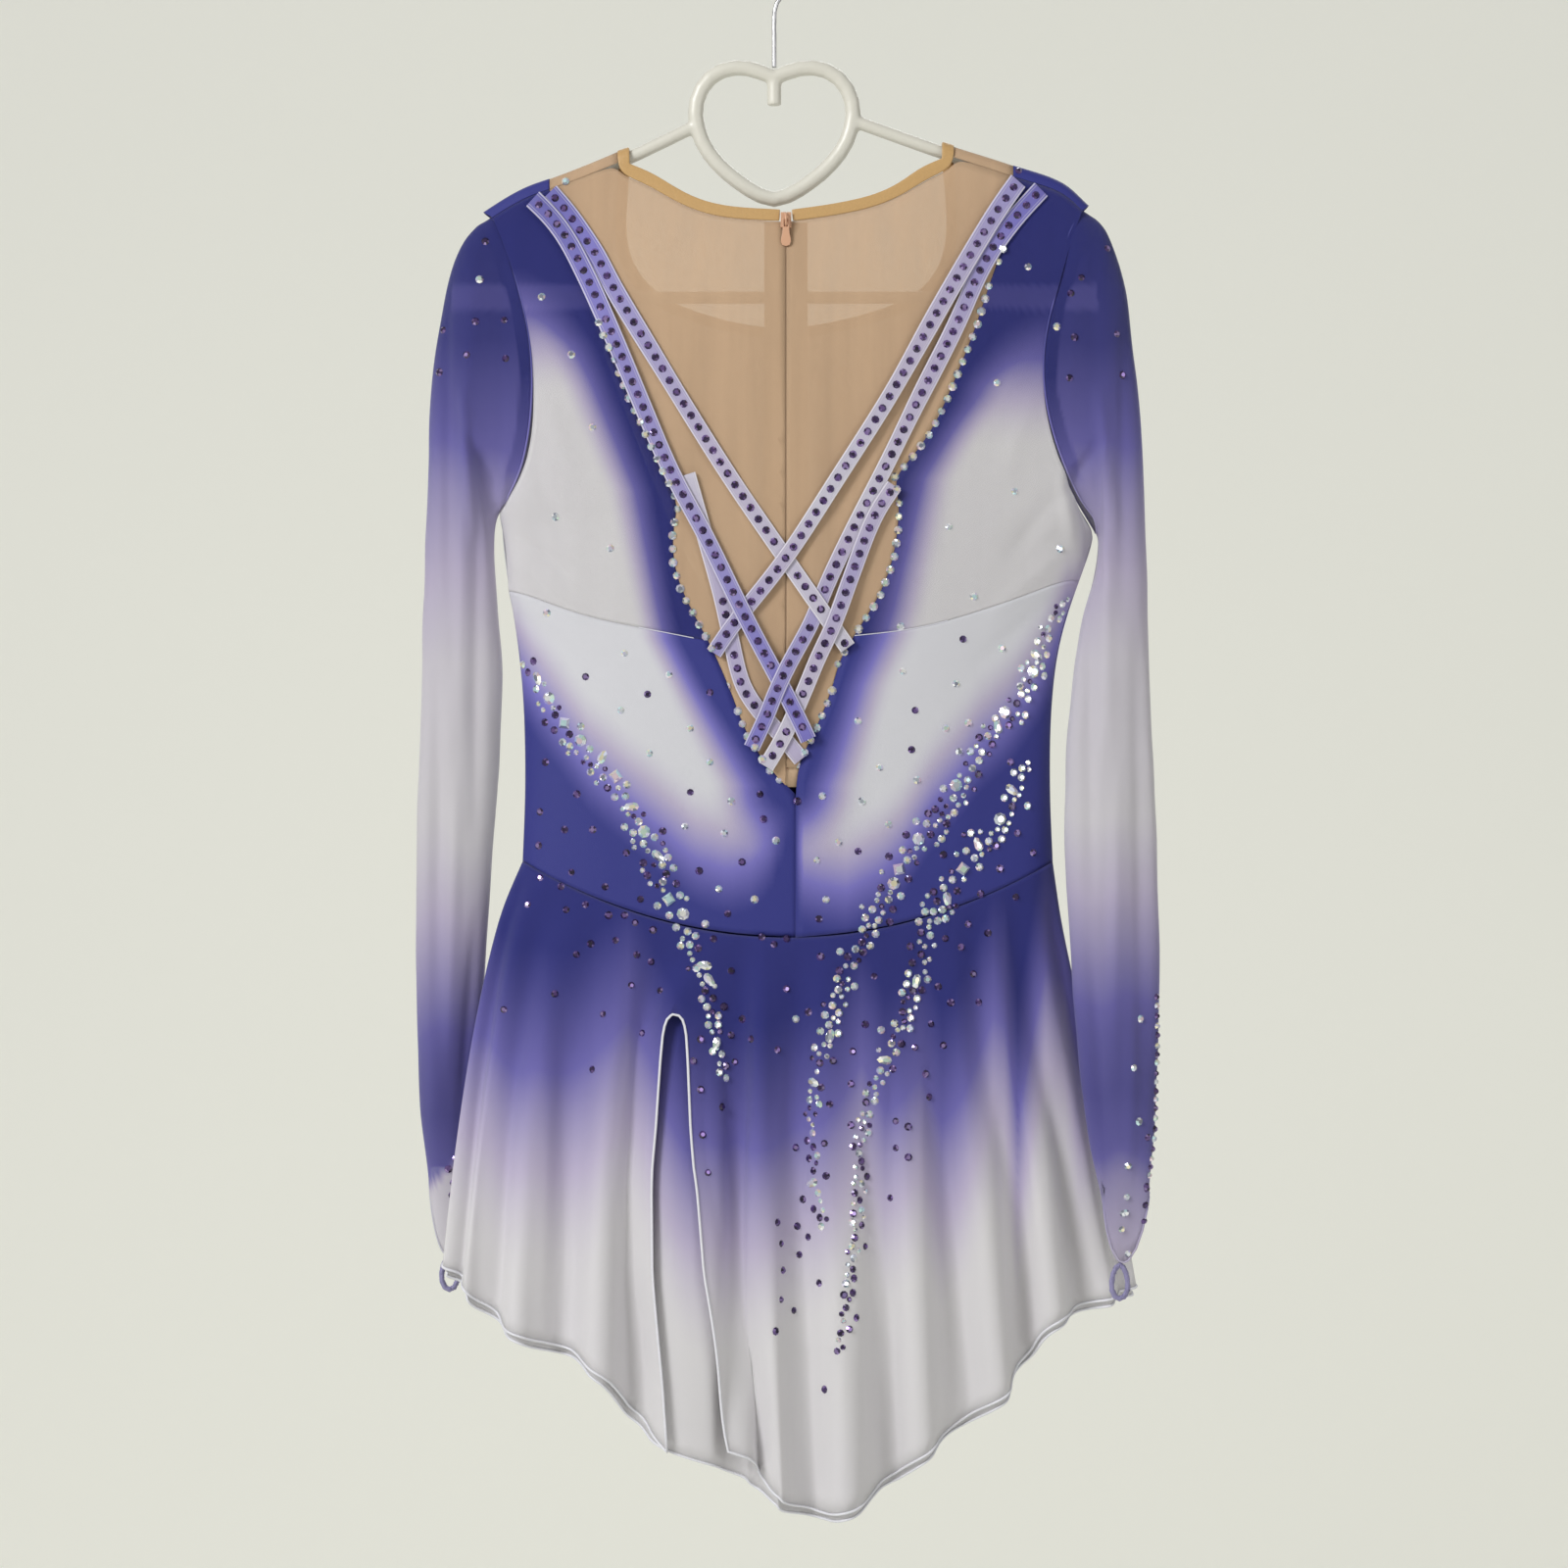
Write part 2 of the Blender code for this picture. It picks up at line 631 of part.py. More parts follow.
def back_lower(side):
    """Opaque lower back, from the seam across the back to the waist seam."""
    columns = SHOULDER_COLUMNS
    top = lowered(across_back(side), -SEAM_GAP)
    hole = hole_lower(side)
    edge_across = LAP_UNDER if side == "left" else LAP_ACROSS
    start, end = (0.0, bearing_fraction(LAP_UNDER)) if side == "left" else (bearing_fraction(LAP_ACROSS), 1.0)
    waist = waist_spots([start + (end - start) * i / (columns - 1) for i in range(columns)], "back")
    middle = [back(Across(edge_across, drop)) for drop in (497, 522, 547)]
    inner = hole + middle + [waist[-1] if side == "left" else waist[0]]
    outer = side_low(side, len(inner))
    left, right = (outer, inner) if side == "left" else (inner, outer)
    grid = patch(top, waist, left, right, seam_shares(side))
    points = on_bodice(grid, "back", lap if side == "left" else None)
    sheet("back_lower_" + side, [points], CLOTH_WALL, BLUE)


def bearing_fraction(across):
    """How far round the back, from the left side seam, a place on the waist lies."""
    left = waist_across(-90)
    right = waist_across(90)
    share = (across - (left + right) / 2) / ((right - left) / 2)
    return (math.degrees(math.asin(share)) + 90) / 180


def side_low(side, rows):
    """Side seam of the lower back between the two seams."""
    start = seam_end(side) + SEAM_GAP
    end = waist_drop(90) - WAIST_GAP / 2
    drops = [start + (end - start) * i / (rows - 1) for i in range(rows)]
    return [back(Across(side_across(side, drop), drop)) for drop in drops]


def zip_drops(side):
    """Drops of the zip's edge beside the rows of the mesh."""
    hole = hole_upper(side) + hole_lower(side)[1:]
    end = drop_of(hole[-1])
    count = len(hole) - 1
    return [MESH_TOP + (end - MESH_TOP) * (i / count) ** ZIP_ROW_CROWD for i in range(count + 1)]


def back_mesh(side):
    """Nude mesh between the neck binding, the zip and the keyhole's edge."""
    inward = SEAM_GAP * 1.3 if side == "left" else -SEAM_GAP * 1.3
    hole = shifted(hole_upper(side) + hole_lower(side)[1:], inward)
    around = sideways(neck_loop(), -BINDING_CLEAR)
    foot = around[:NECK_BACK_POINTS] if side == "left" else list(reversed(around[-NECK_BACK_POINTS:]))
    zip_across = ZIP_ACROSS + (-SEAM_GAP if side == "left" else SEAM_GAP)
    zip_edge = [back(Across(zip_across, drop)) for drop in zip_drops(side)]
    yoke = yoke_shoulder(side, -(SHOULDER_SEAM + SEAM_GAP), BINDING_CLEAR + 1.6)
    if side == "left":
        top = yoke + list(reversed(foot[1:])) + [zip_edge[0]]
        left, right = hole, zip_edge
    else:
        top = [zip_edge[0]] + foot[1:] + yoke
        left, right = zip_edge, hole
    share = shares_across(top)
    bottom = [left[-1].lerp(right[-1], f) for f in share]
    grid = patch(top, bottom, left, right, share)
    sheet("back_mesh_" + side, [on_bodice(grid, "back")], MESH_WALL, NUDE)


def drop_of(spot):
    """Drop of a place given in cloth coordinates, below the shoulder's arch."""
    return shoulder(spot.x) + ARCH + abs(spot.y) - QUARTER


def yoke_shoulder(side, run, width=BINDING_CLEAR):
    """Points of the shoulder seam between the keyhole's edge and the neck binding."""
    gap = SEAM_GAP * 1.3
    if side == "left":
        return seam_spots(V_TOP_LEFT + gap, NECK_POINT_LEFT - width, YOKE_COLUMNS, run)
    return seam_spots(NECK_POINT_RIGHT + width, V_TOP_RIGHT - gap, YOKE_COLUMNS, run)


def neck_back_path(side):
    """Back neckline from beside the slider to the shoulder."""
    away = -1 if side == "left" else 1
    clear = SLIDER_SIZE[0] / 2 + SLIDER_CLEAR
    spots = [spot for spot in NECK_BACK if (spot.across - ZIP_ACROSS) * away > 5]
    spots.sort(key=lambda spot: abs(spot.across - ZIP_ACROSS))
    path = [back(Across(ZIP_ACROSS + away * clear, NECK_BACK_DROP))] + [back(spot) for spot in spots]
    point = NECK_POINT_LEFT if side == "left" else NECK_POINT_RIGHT
    return spline(path + [Vector((point, -(QUARTER + NECK_UPRIGHT)))], NECK_BACK_POINTS)


def neck_loop():
    """The neckline, from the zip over the left shoulder, across the front and back to the zip."""
    arch = [QUARTER * k / 3 for k in range(-3, 4)]
    over_left = [Vector((NECK_POINT_LEFT, run)) for run in arch]
    over_right = [Vector((NECK_POINT_RIGHT, run)) for run in reversed(arch)]
    front_part = neck_front_path()[1:-1]
    return neck_back_path("left") + over_left + front_part + over_right + list(reversed(neck_back_path("right")))


def neck_front_path():
    spots = [Vector((NECK_POINT_LEFT, QUARTER))] + [front(spot) for spot in NECK_FRONT]
    return spline(spots + [Vector((NECK_POINT_RIGHT, QUARTER))], NECK_FRONT_POINTS)


def sideways(path, distance):
    """The path moved to its right by a distance, as an edge parallel to it."""
    moved = []
    for i, spot in enumerate(path):
        ahead = path[min(i + 1, len(path) - 1)] - path[max(i - 1, 0)]
        ahead.normalize()
        moved.append(spot + Vector((ahead.y, -ahead.x)) * distance)
    return moved


def neck_binding():
    path = neck_loop()
    outer = sideways(path, -BINDING_WIDTH)
    rows = [[place(s.x, s.y) for s in line] for line in (outer, path)]
    sheet("neck_binding", [rows], BINDING_WALL, BINDING)


def shares_across(spots):
    """How far across each spot of a row lies, always increasing."""
    first, last = spots[0].x, spots[-1].x
    shares = [0.0]
    for spot in spots[1:]:
        shares.append(max((spot.x - first) / (last - first), shares[-1] + 0.012))
    return [share / shares[-1] for share in shares]


def front_yoke():
    """Nude mesh of the front, from the neckline down to a point, over both shoulders."""
    gap = SEAM_GAP * 1.3
    foot = sideways(neck_front_path(), -BINDING_CLEAR)
    count = YOKE_STRAP_ROWS
    left, right = shifted(front_hole("left"), gap), shifted(front_hole("right"), -gap)
    grids = []
    ends = []
    for side, hole in (("left", left), ("right", right)):
        shoulder_spots = yoke_shoulder(side, QUARTER)
        if side == "left":
            edges = (hole[:count], [shoulder_spots[-1]] + foot[1:count])
        else:
            edges = ([shoulder_spots[0]] + list(reversed(foot[-count:-1])), hole[:count])
        share = [i / (YOKE_COLUMNS - 1) for i in range(YOKE_COLUMNS)]
        end = [edges[0][-1].lerp(edges[1][-1], f) for f in share]
        grids.append(on_bodice(patch(shoulder_spots, end, edges[0], edges[1], share), "front"))
        grids.append(on_bodice(over_shoulder(shoulder_spots), "front"))
        ends.append(end)
    top = ends[0] + foot[count:-count] + ends[1]
    share = shares_across(top)
    bottom = [left[-1].lerp(right[-1], f) for f in share]
    grids.append(on_bodice(patch(top, bottom, left[count - 1:], right[count - 1:], share), "front"))
    sheet("front_yoke", grids, MESH_WALL, NUDE)


def front_hole(side):
    """Edge between the nude yoke and the ombre front, from the shoulder down to its point."""
    top = V_TOP_LEFT if side == "left" else V_TOP_RIGHT
    edge = V_FRONT_LEFT if side == "left" else V_FRONT_RIGHT
    return spline([Vector((top, QUARTER))] + [front(spot) for spot in edge], FRONT_HOLE_ROWS)


def front_bodice():
    """Ombre front, cut in one, over both shoulders to the seam on the back."""
    centre = front_centre()
    end = waist_drop(90) - WAIST_GAP / 2
    below = FRONT_HOLE_ROWS + len(centre) - len(ARMHOLE_SHARES) + 1
    grids = []
    for side in ("left", "right"):
        top = shoulder_seam_spots(side, QUARTER)
        hole = front_hole(side)
        hole[-1] = hole[-1] + Vector((0, SEAM_GAP * 1.3))
        inner = hole + centre
        outer = side_spots(side, QUARTER, end, below, "front")
        half = [0.5 * i / (SHOULDER_COLUMNS - 1) for i in range(SHOULDER_COLUMNS)]
        waist = waist_spots(half if side == "left" else [0.5 + f for f in half], "front")
        left, right = (outer, inner) if side == "left" else (inner, outer)
        grids.append(on_bodice(patch(top, waist, left, right, seam_shares(side)), "front"))
        grids.append(on_bodice(over_shoulder(top, side), "front"))
    sheet("front_bodice", grids, CLOTH_WALL, BLUE)


def front_centre():
    """Middle of the front from just below the yoke's point to the waist seam."""
    start = Vector(waist_spots([0.5], "front")[0])
    corner = front(Across(*FRONT_POINT)) + Vector((0, SEAM_GAP * 1.3))
    return [corner.lerp(start, i / FRONT_LOW_ROWS) for i in range(FRONT_LOW_ROWS + 1)]


def crowded(edge, inner, count):
    """Places from an armhole inwards, close together at the armhole."""
    return [edge + (inner - edge) * f for f in fractions_from_side(count)]


def sleeve_ring(station, slant=0.0, point_at=POINT_FAR):
    """One round of a sleeve: the underarm edge first, then back, outer edge and front."""
    inner = Vector((station.inner, 0, -station.inner_drop))
    outer = Vector((station.outer, 0, -station.outer_drop))
    axis = (outer - inner).normalized()
    inner += axis * CLOTH_WALL
    outer -= axis * CLOTH_WALL
    points = []
    for share, facing in RING:
        swell = 2 * math.sqrt(share * (1 - share))
        point = outer.lerp(inner, share)
        point.y = station.shift + facing * station.depth * swell
        turn = math.atan2(-facing * swell, 1 - 2 * share) - 2 * math.pi * (0.5 - point_at)
        point.z -= slant * max(0.0, -math.cos(turn)) ** 1.4 if slant else 0.0
        points.append(point)
    return points


def armhole_ring(side):
    """The sleeve's first round, a seam's gap outside the bodice's armhole edge."""
    out = -1 if side == "left" else 1
    drops = dict(zip(ARMHOLE_SHARES, armhole_drops(side)))
    top = drops[0.0]
    points = []
    for share, facing in RING:
        drop = drops[share]
        across = side_across(side, drop)
        below = drop - top
        depth = math.sqrt(max(0.0, ARCH ** 2 - (ARCH - below) ** 2)) if below < ARCH else half_depth(across, drop)
        depth = 0.0 if share in (0.0, 1.0) else depth
        clear = SEAM_GAP + UNDERARM_CLEAR * smooth((share - 0.45) / 0.3)
        points.append(Vector((across + out * clear, facing * depth, -drop)))
    return points


def sleeve(side):
    rows = SLEEVE_LEFT if side == "left" else SLEEVE_RIGHT
    first = armhole_ring(side)
    rings = []
    for i, station in enumerate(rows):
        from_end = i - len(rows) + len(CUFF_SLANT)
        slant = CUFF_POINT[side] * CUFF_SLANT[from_end] if from_end >= 0 else 0.0
        rings.append(sleeve_ring(station, slant, POINT_AT[side]))
    between = [a.lerp(b, 0.5) for a, b in zip(first, rings[0])]
    grid = [first, between] + rings
    if side == "left":
        grid = [list(reversed(ring)) for ring in grid]
    sheet("sleeve_" + side, [grid], CLOTH_WALL, VIOLET, closed=True)


def cuff_tip(side):
    """Lowest point of a cuff."""
    rows = SLEEVE_LEFT if side == "left" else SLEEVE_RIGHT
    return min(sleeve_ring(rows[-1], CUFF_POINT[side], POINT_AT[side]), key=lambda point: point.z)


def tube(name, points, radius, finish, closed=False, detail=2):
    """A round tube along points, kept as a poly curve with filled ends."""
    curve = bpy.data.curves.new(name, "CURVE")
    curve.dimensions = "3D"
    curve.bevel_depth = radius * MM
    curve.bevel_resolution = detail
    curve.use_fill_caps = True
    path = curve.splines.new("POLY")
    path.points.add(len(points) - 1)
    for spot, point in zip(path.points, points):
        spot.co = (*(point * MM), 1)
    path.use_cyclic_u = closed
    return link(name, curve, finish)


def as_mesh(obj):
    """A curve's evaluated tube as a mesh object with welded caps."""
    graph = bpy.context.evaluated_depsgraph_get()
    mesh = bpy.data.meshes.new_from_object(obj.evaluated_get(graph))
    work = bmesh.new()
    work.from_mesh(mesh)
    bmesh.ops.remove_doubles(work, verts=work.verts, dist=1e-6)
    work.to_mesh(mesh)
    work.free()
    made = bpy.data.objects.new(obj.name + "_mesh", mesh)
    made.matrix_world = obj.matrix_world.copy()
    name = obj.name
    bpy.data.objects.remove(obj, do_unlink=True)
    made.name = name
    return made


def whole(obj, finish):
    """A curve's tube or plate as a linked mesh object."""
    bpy.context.view_layer.update()
    made = as_mesh(obj)
    DRESS.objects.link(made)
    finish_of(made, finish)
    return made


def join(base, others):
    """Boolean union of mesh objects into the first one."""
    for other in others:
        CUTTERS.objects.link(other)
        other.hide_render = True
        other.display_type = "WIRE"
        union = base.modifiers.new("Join " + other.name, "BOOLEAN")
        union.operation = "UNION"
        union.object = other


def thumb_loop(side):
    """Narrow loop below the cuff's point, its two ends just under the cloth."""
    tip = cuff_tip(side)
    centre = Vector((tip.x, tip.y, tip.z - LOOP_LENGTH / 2 - LOOP_BELOW))
    points = []
    for i in range(12):
        a = 2 * math.pi * i / 12
        across = (LOOP_WIDTH / 2 - LOOP_RADIUS) * math.sin(a) * (0.85 - 0.15 * math.cos(a))
        points.append(centre + Vector((across, 0, LOOP_LENGTH / 2 * math.cos(a) - LOOP_RADIUS / 2)))
    tube("thumb_loop_" + side, points, LOOP_RADIUS, VIOLET, closed=True, detail=1)


def fold_phase(bearing):
    """Turns of the skirt's folds up to a bearing; a whole number is the crest of a fold."""
    crests = BACK_CRESTS + FRONT_CRESTS
    ring = [crests[-1] - 360] + crests + [crests[0] + 360]
    bearing = (bearing - ring[0]) % 360 + ring[0]
    for i, (low, high) in enumerate(zip(ring, ring[1:])):
        if bearing < high:
            return i + (bearing - low) / (high - low)
    return float(len(ring) - 1)


def skirt_face(bearing, v, open_by=0.0, hem_lift=0.0):
    """Point of the skirt's outer form at a bearing and a share of its length from waist to hem."""
    angle = math.radians(bearing + open_by)
    left = skirt_left(v) + CLOTH_WALL
    right = skirt_right(v) - CLOTH_WALL
    depth = SKIRT_DEPTH_TOP + (SKIRT_DEPTH_HEM - SKIRT_DEPTH_TOP) * v
    half = (right - left) / 2
    turn = (bearing + 90) % 360 - 90
    drop_top = waist_drop(bearing) + WAIST_GAP / 2
    drop = drop_top + (hem_drop(turn) - hem_lift - drop_top) * v
    base = Vector(((left + right) / 2 + half * math.sin(angle), -depth * math.cos(angle), -drop))
    normal = Vector((math.sin(angle) * depth, -math.cos(angle) * half, 0)).normalized()
    height = FOLD_HEIGHT * v ** 0.85 * (0.15 + 0.85 * math.sqrt(abs(math.cos(angle))))
    wave = math.cos(2 * math.pi * fold_phase(bearing))
    point = base + normal * (height * wave - height * 0.2)
    point.y += SKIRT_TWIST * math.sin(angle) * v
    return point


def skirt_row(bearings, v, inward, hem_lift, spreads):
    """One round of a skirt layer, laid inward from the outer form along its own normals."""
    row = []
    for bearing, spread in zip(bearings, spreads):
        point = skirt_face(bearing, v, spread, hem_lift)
        if inward:
            along = skirt_face(bearing + 0.7, v, spread) - skirt_face(bearing - 0.7, v, spread)
            down = skirt_face(bearing, min(1.0, v + 0.01), spread) - skirt_face(bearing, max(0.0, v - 0.01), spread)
            point = point - down.cross(along).normalized() * inward
        row.append(point)
    return row


def fold_bearings():
    """Bearings of the skirt's columns from the slit round to it: the same few in every fold."""
    crests = BACK_CRESTS + FRONT_CRESTS
    ring = [crests[-1] - 360] + crests
    first = ring.index(SLIT_BEARING)
    order = ring[first:] + [crest + 360 for crest in ring[1:first + 1]]
    bearings = []
    for low, high in zip(order, order[1:]):
        bearings += [low + (high - low) * k / FOLD_COLUMNS for k in range(FOLD_COLUMNS)]
    return bearings + [order[-1]]


def slit_share():
    """Share of the skirt's length at which the slit begins."""
    top = waist_drop(SLIT_BEARING)
    return (SLIT_TOP - top) / (hem_drop(SLIT_BEARING) - top)


def skirt_shares():
    """Rows of both layers, as shares of the length from waist to hem."""
    start = slit_share()
    return [0.0, start / 2] + [start + (1 - start) * (i / 4) ** 1.15 for i in range(5)]


def slit_spreads(v):
    """How far round each column is drawn away from the slit at a share of the length."""
    start = slit_share()
    t = max(0.0, v - start) / (1 - start)
    spread = SLIT_HALF_ANGLE * min(1.0, t / SLIT_ROUNDED) ** 0.55
    bearings = fold_bearings()
    first, last = bearings[0], bearings[-1]
    return [
        spread * (1 - smooth((b - first) / SLIT_REACH)) - spread * (1 - smooth((last - b) / SLIT_REACH))
        for b in bearings]


def skirt_outer():
    """Outer skirt: a tube down to the slit's top, and open from there to the hem."""
    bearings = fold_bearings()
    grid = [skirt_row(bearings, v, 0.0, HEM_LIFT, slit_spreads(v)) for v in skirt_shares()]
    sheet("skirt_outer", [grid], SKIRT_WALL, PALE)


def skirt_under():
    """Under layer, a little inside the outer one and longer, whole behind the slit."""
    bearings = fold_bearings()[:-1]
    grid = []
    for v in skirt_shares():
        inward = SKIRT_WALL + SKIRT_LAYER_GAP_TOP + (SKIRT_LAYER_GAP_HEM - SKIRT_LAYER_GAP_TOP) * v
        spreads = [0.0] + slit_spreads(v)[1:-1]
        grid.append(skirt_row(bearings, v, inward, 0.0, spreads))
    sheet("skirt_under", [grid], SKIRT_WALL, PALE, closed=True)


def level_at(levels, drop):
    """Level at a drop, on straight ramps between the table's rows."""
    for (drop0, level0), (drop1, level1) in zip(levels, levels[1:]):
        if drop0 <= drop <= drop1:
            return level0 + (level1 - level0) * (drop - drop0) / (drop1 - drop0)
    return levels[-1][1]


def strap_stations(name):
    """Places along a strap's middle: evenly spaced, and where its level starts or stops changing."""
    path = spline([back(spot) for spot in STRAP_ROUTES[name]], 121)
    length = sum((b - a).length for a, b in zip(path, path[1:]))
    count = max(4, round(length / STRAP_SPACING))
    turns = []
    for drop, _ in STRAP_LEVELS[name]:
        if drop_of(path[0]) < drop < drop_of(path[-1]):
            turns.append(min(range(len(path)), key=lambda i: abs(drop_of(path[i]) - drop)))
    even = [round(120 * i / count) for i in range(count + 1)]
    kept = [i for i in even if all(abs(i - turn) > 2 for turn in turns)]
    return [path[i] for i in sorted(turns + kept)]


def strap(name):
    """Flat strap lying on the back, lifted a step where it passes over another."""
    path = strap_stations(name)
    rows = []
    for i, spot in enumerate(path):
        ahead = (path[min(i + 1, len(path) - 1)] - path[max(i - 1, 0)]).normalized()
        across = Vector((ahead.y, -ahead.x)) * STRAP_WIDTH / 2
        lift = STRAP_REST + STRAP_STEP * level_at(STRAP_LEVELS[name], drop_of(spot))
        edges = (spot + across, spot - across)
        rows.append([place(edge.x, edge.y) + outward(edge.x, edge.y) * lift for edge in edges])
    sheet("strap_" + name, [rows], STRAP_WALL, VIOLET)


def zip_tape():
    """Tape of the zip, behind the two edges of the mesh."""
    grid = []
    for drop in zip_drops("right")[:-1]:
        row = []
        for k in (-1, 0, 1):
            across = ZIP_ACROSS + ZIP_TAPE_WIDTH / 2 * k
            run = -reach(across, drop)
            row.append(place(across, run) - outward(across, run) * (ZIP_TAPE_WALL + SEAM_GAP))
        grid.append(row)
    sheet("zip_tape", [grid], ZIP_TAPE_WALL, NUDE)


def slider_frame():
    """Place and tilt of the slider: its local -Y points away from the cloth."""
    run = -reach(ZIP_ACROSS, SLIDER_DROP)
    spot = place(ZIP_ACROSS, run)
    normal = outward(ZIP_ACROSS, run)
    normal.x = 0
    normal.normalize()
    tilt = math.atan2(normal.z, -normal.y)
    centre = spot + normal * (MESH_WALL + SEAM_GAP + 0.25 + SLIDER_SIZE[1] / 2)
    return centre, -tilt


def box_mesh(name, size):
    work = bmesh.new()
    bmesh.ops.create_cube(work, size=1, matrix=Matrix.Diagonal(Vector(size) * MM).to_4x4())
    mesh = bpy.data.meshes.new(name)
    work.to_mesh(mesh)
    work.free()
    return mesh


def zip_slider():
    centre, tilt = slider_frame()
    turn = Matrix.Translation(centre * MM) @ Matrix.Rotation(tilt, 4, "X")
    body = link("zip_slider", box_mesh("zip_slider", SLIDER_SIZE), STEEL)
    body.data.transform(turn)
    points = []
    for i in range(13):
        a = math.pi * i / 12
        local = Vector((0, -SLIDER_SIZE[1] / 2 - CROWN_RADIUS * math.sin(a) * 0.92, CROWN_RADIUS * math.cos(a)))
        points.append(local)
    points[0].y += 0.6
    points[-1].y += 0.6
    crown = tube("zip_crown", points, WIRE_RADIUS, STEEL)
    crown.matrix_world = turn
    bpy.context.view_layer.update()
    crown_mesh = as_mesh(crown)
    join(body, [crown_mesh])


def pull_axis():
    centre, tilt = slider_frame()
    turn = Matrix.Rotation(tilt, 3, "X")
    return centre + turn @ Vector((0, -SLIDER_SIZE[1] / 2 - PULL_AXIS_LIFT, 0))


def zip_pull():
    """Teardrop tab with an eye round the slider's crown; its origin is the hinge's axis."""
    outline = bpy.data.curves.new("zip_pull", "CURVE")
    outline.dimensions = "2D"
    outline.fill_mode = "BOTH"
    outline.extrude = PULL_WALL / 2 * MM
    rim = [
        (-1.95, 0.5), (1.95, 0.5), (2.1, -2), (1.85, -5), (2.0, -8), (2.7, -11), (2.8, -13),
        (2.0, -14.9), (0, -PULL_LENGTH), (-2.0, -14.9), (-2.8, -13), (-2.7, -11), (-2.0, -8),
        (-1.85, -5), (-2.1, -2),
    ]
    eye = [(-1.15, -0.5), (-1.15, -4.5), (1.15, -4.5), (1.15, -0.5)]
    for loop in (rim, eye):
        path = outline.splines.new("POLY")
        path.points.add(len(loop) - 1)
        path.use_cyclic_u = True
        for spot, (x, z) in zip(path.points, loop):
            spot.co = (x * MM, z * MM, 0, 1)
    obj = link("zip_pull", outline, STEEL)
    obj.rotation_euler = (math.pi / 2, 0, 0)
    obj.location = pull_axis() * MM
    whole(obj, STEEL)


def hanger_frame():
    """Heart, arms under the shoulders and the bar between their tips, in one moulding."""
    right = [Vector((spot.across, 0, -spot.drop)) for spot in HEART_HALF]
    left = [Vector((-point.x, 0, point.z)) for point in right[-2:0:-1]]
    heart = tube("hanger_frame", spline(right + left, 34, closed=True), HEART_TUBE, PLASTIC, closed=True)
    arm_left = [arm_centre(x) for x in (-140, -120, -100, -82)]
    arm_right = [arm_centre(x) for x in (95, 110, 125, 140)]
    tip_left = [Vector((s.across, 0, -s.drop)) for s in ARM_TIP_LEFT]
    tip_right = [Vector((s.across, 0, -s.drop)) for s in ARM_TIP_RIGHT]
    bar = [Vector((x, 0, -BAR_DROP)) for x in (-120, -60, 0, 60, 120)]
    loop = [Vector((-44.5, 0, -115))] + list(reversed(arm_left)) + tip_left + bar
    loop += list(reversed(tip_right)) + list(reversed(arm_right)) + [Vector((44.5, 0, -112))]
    arms = tube("hanger_arms", spline(loop, 60), ARM_TUBE, PLASTIC)
    peg_points = [Vector((0, 0, -HEART_PEG[0])), Vector((0, 0, -HEART_PEG[1]))]
    peg = tube("hanger_peg", peg_points, HEART_TUBE * 0.92, PLASTIC)
    base = whole(heart, PLASTIC)
    join(base, [as_mesh(arms), as_mesh(peg)])


def arm_centre(across):
    """Centre of an arm just under the shoulder's inner face."""
    return Vector((across, 0, -(shoulder(across) + ARM_SEAT)))


def hanger_hook():
    """Bent wire: a shank and an open ring whose inside top is the origin."""
    radius = HOOK_INSIDE + WIRE_HOOK
    shank = [Vector((0, 0, -HOOK_FOOT + k)) for k in (0.0, 14.0, 28.0)]
    shank.append(Vector((1.5, 0, -HOOK_INSIDE - radius - 8)))
    ring = []
    for degrees in range(-58, 206, 22):
        a = math.radians(degrees)
        ring.append(Vector((radius * math.cos(a), 0, -HOOK_INSIDE + radius * math.sin(a))))
    whole(tube("hanger_hook", spline(shank + ring, 30), WIRE_HOOK, STEEL), STEEL)


clear_scene()
DRESS = bpy.data.collections.new("figure_skating_dress")
CUTTERS = bpy.data.collections.new("joined_shapes")
for made_collection in (DRESS, CUTTERS):
    bpy.context.scene.collection.children.link(made_collection)

hanger_frame()
hanger_hook()
for which in ("left", "right"):
    back_upper(which)
    back_lower(which)
    back_mesh(which)
    sleeve(which)
    thumb_loop(which)
front_yoke()
front_bodice()
neck_binding()
zip_tape()
zip_slider()
zip_pull()
for strap_name in STRAP_ROUTES:
    strap(strap_name)
skirt_outer()
skirt_under()
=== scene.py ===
"""The looks of a figure skating dress on a heart-shaped hanger, its back towards the camera.

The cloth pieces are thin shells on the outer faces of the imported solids: smoothed, creased and
dyed.  Places in the tables are pairs of millimetres, across and drop: across is +X, and drop is
measured down from the inside top of the hanger's hook.  The back faces -Y.
"""
import json
import math
import random
from collections import namedtuple

import bmesh
import bpy
from mathutils import Matrix, Vector, noise
from mathutils.bvhtree import BVHTree
from mathutils.kdtree import KDTree

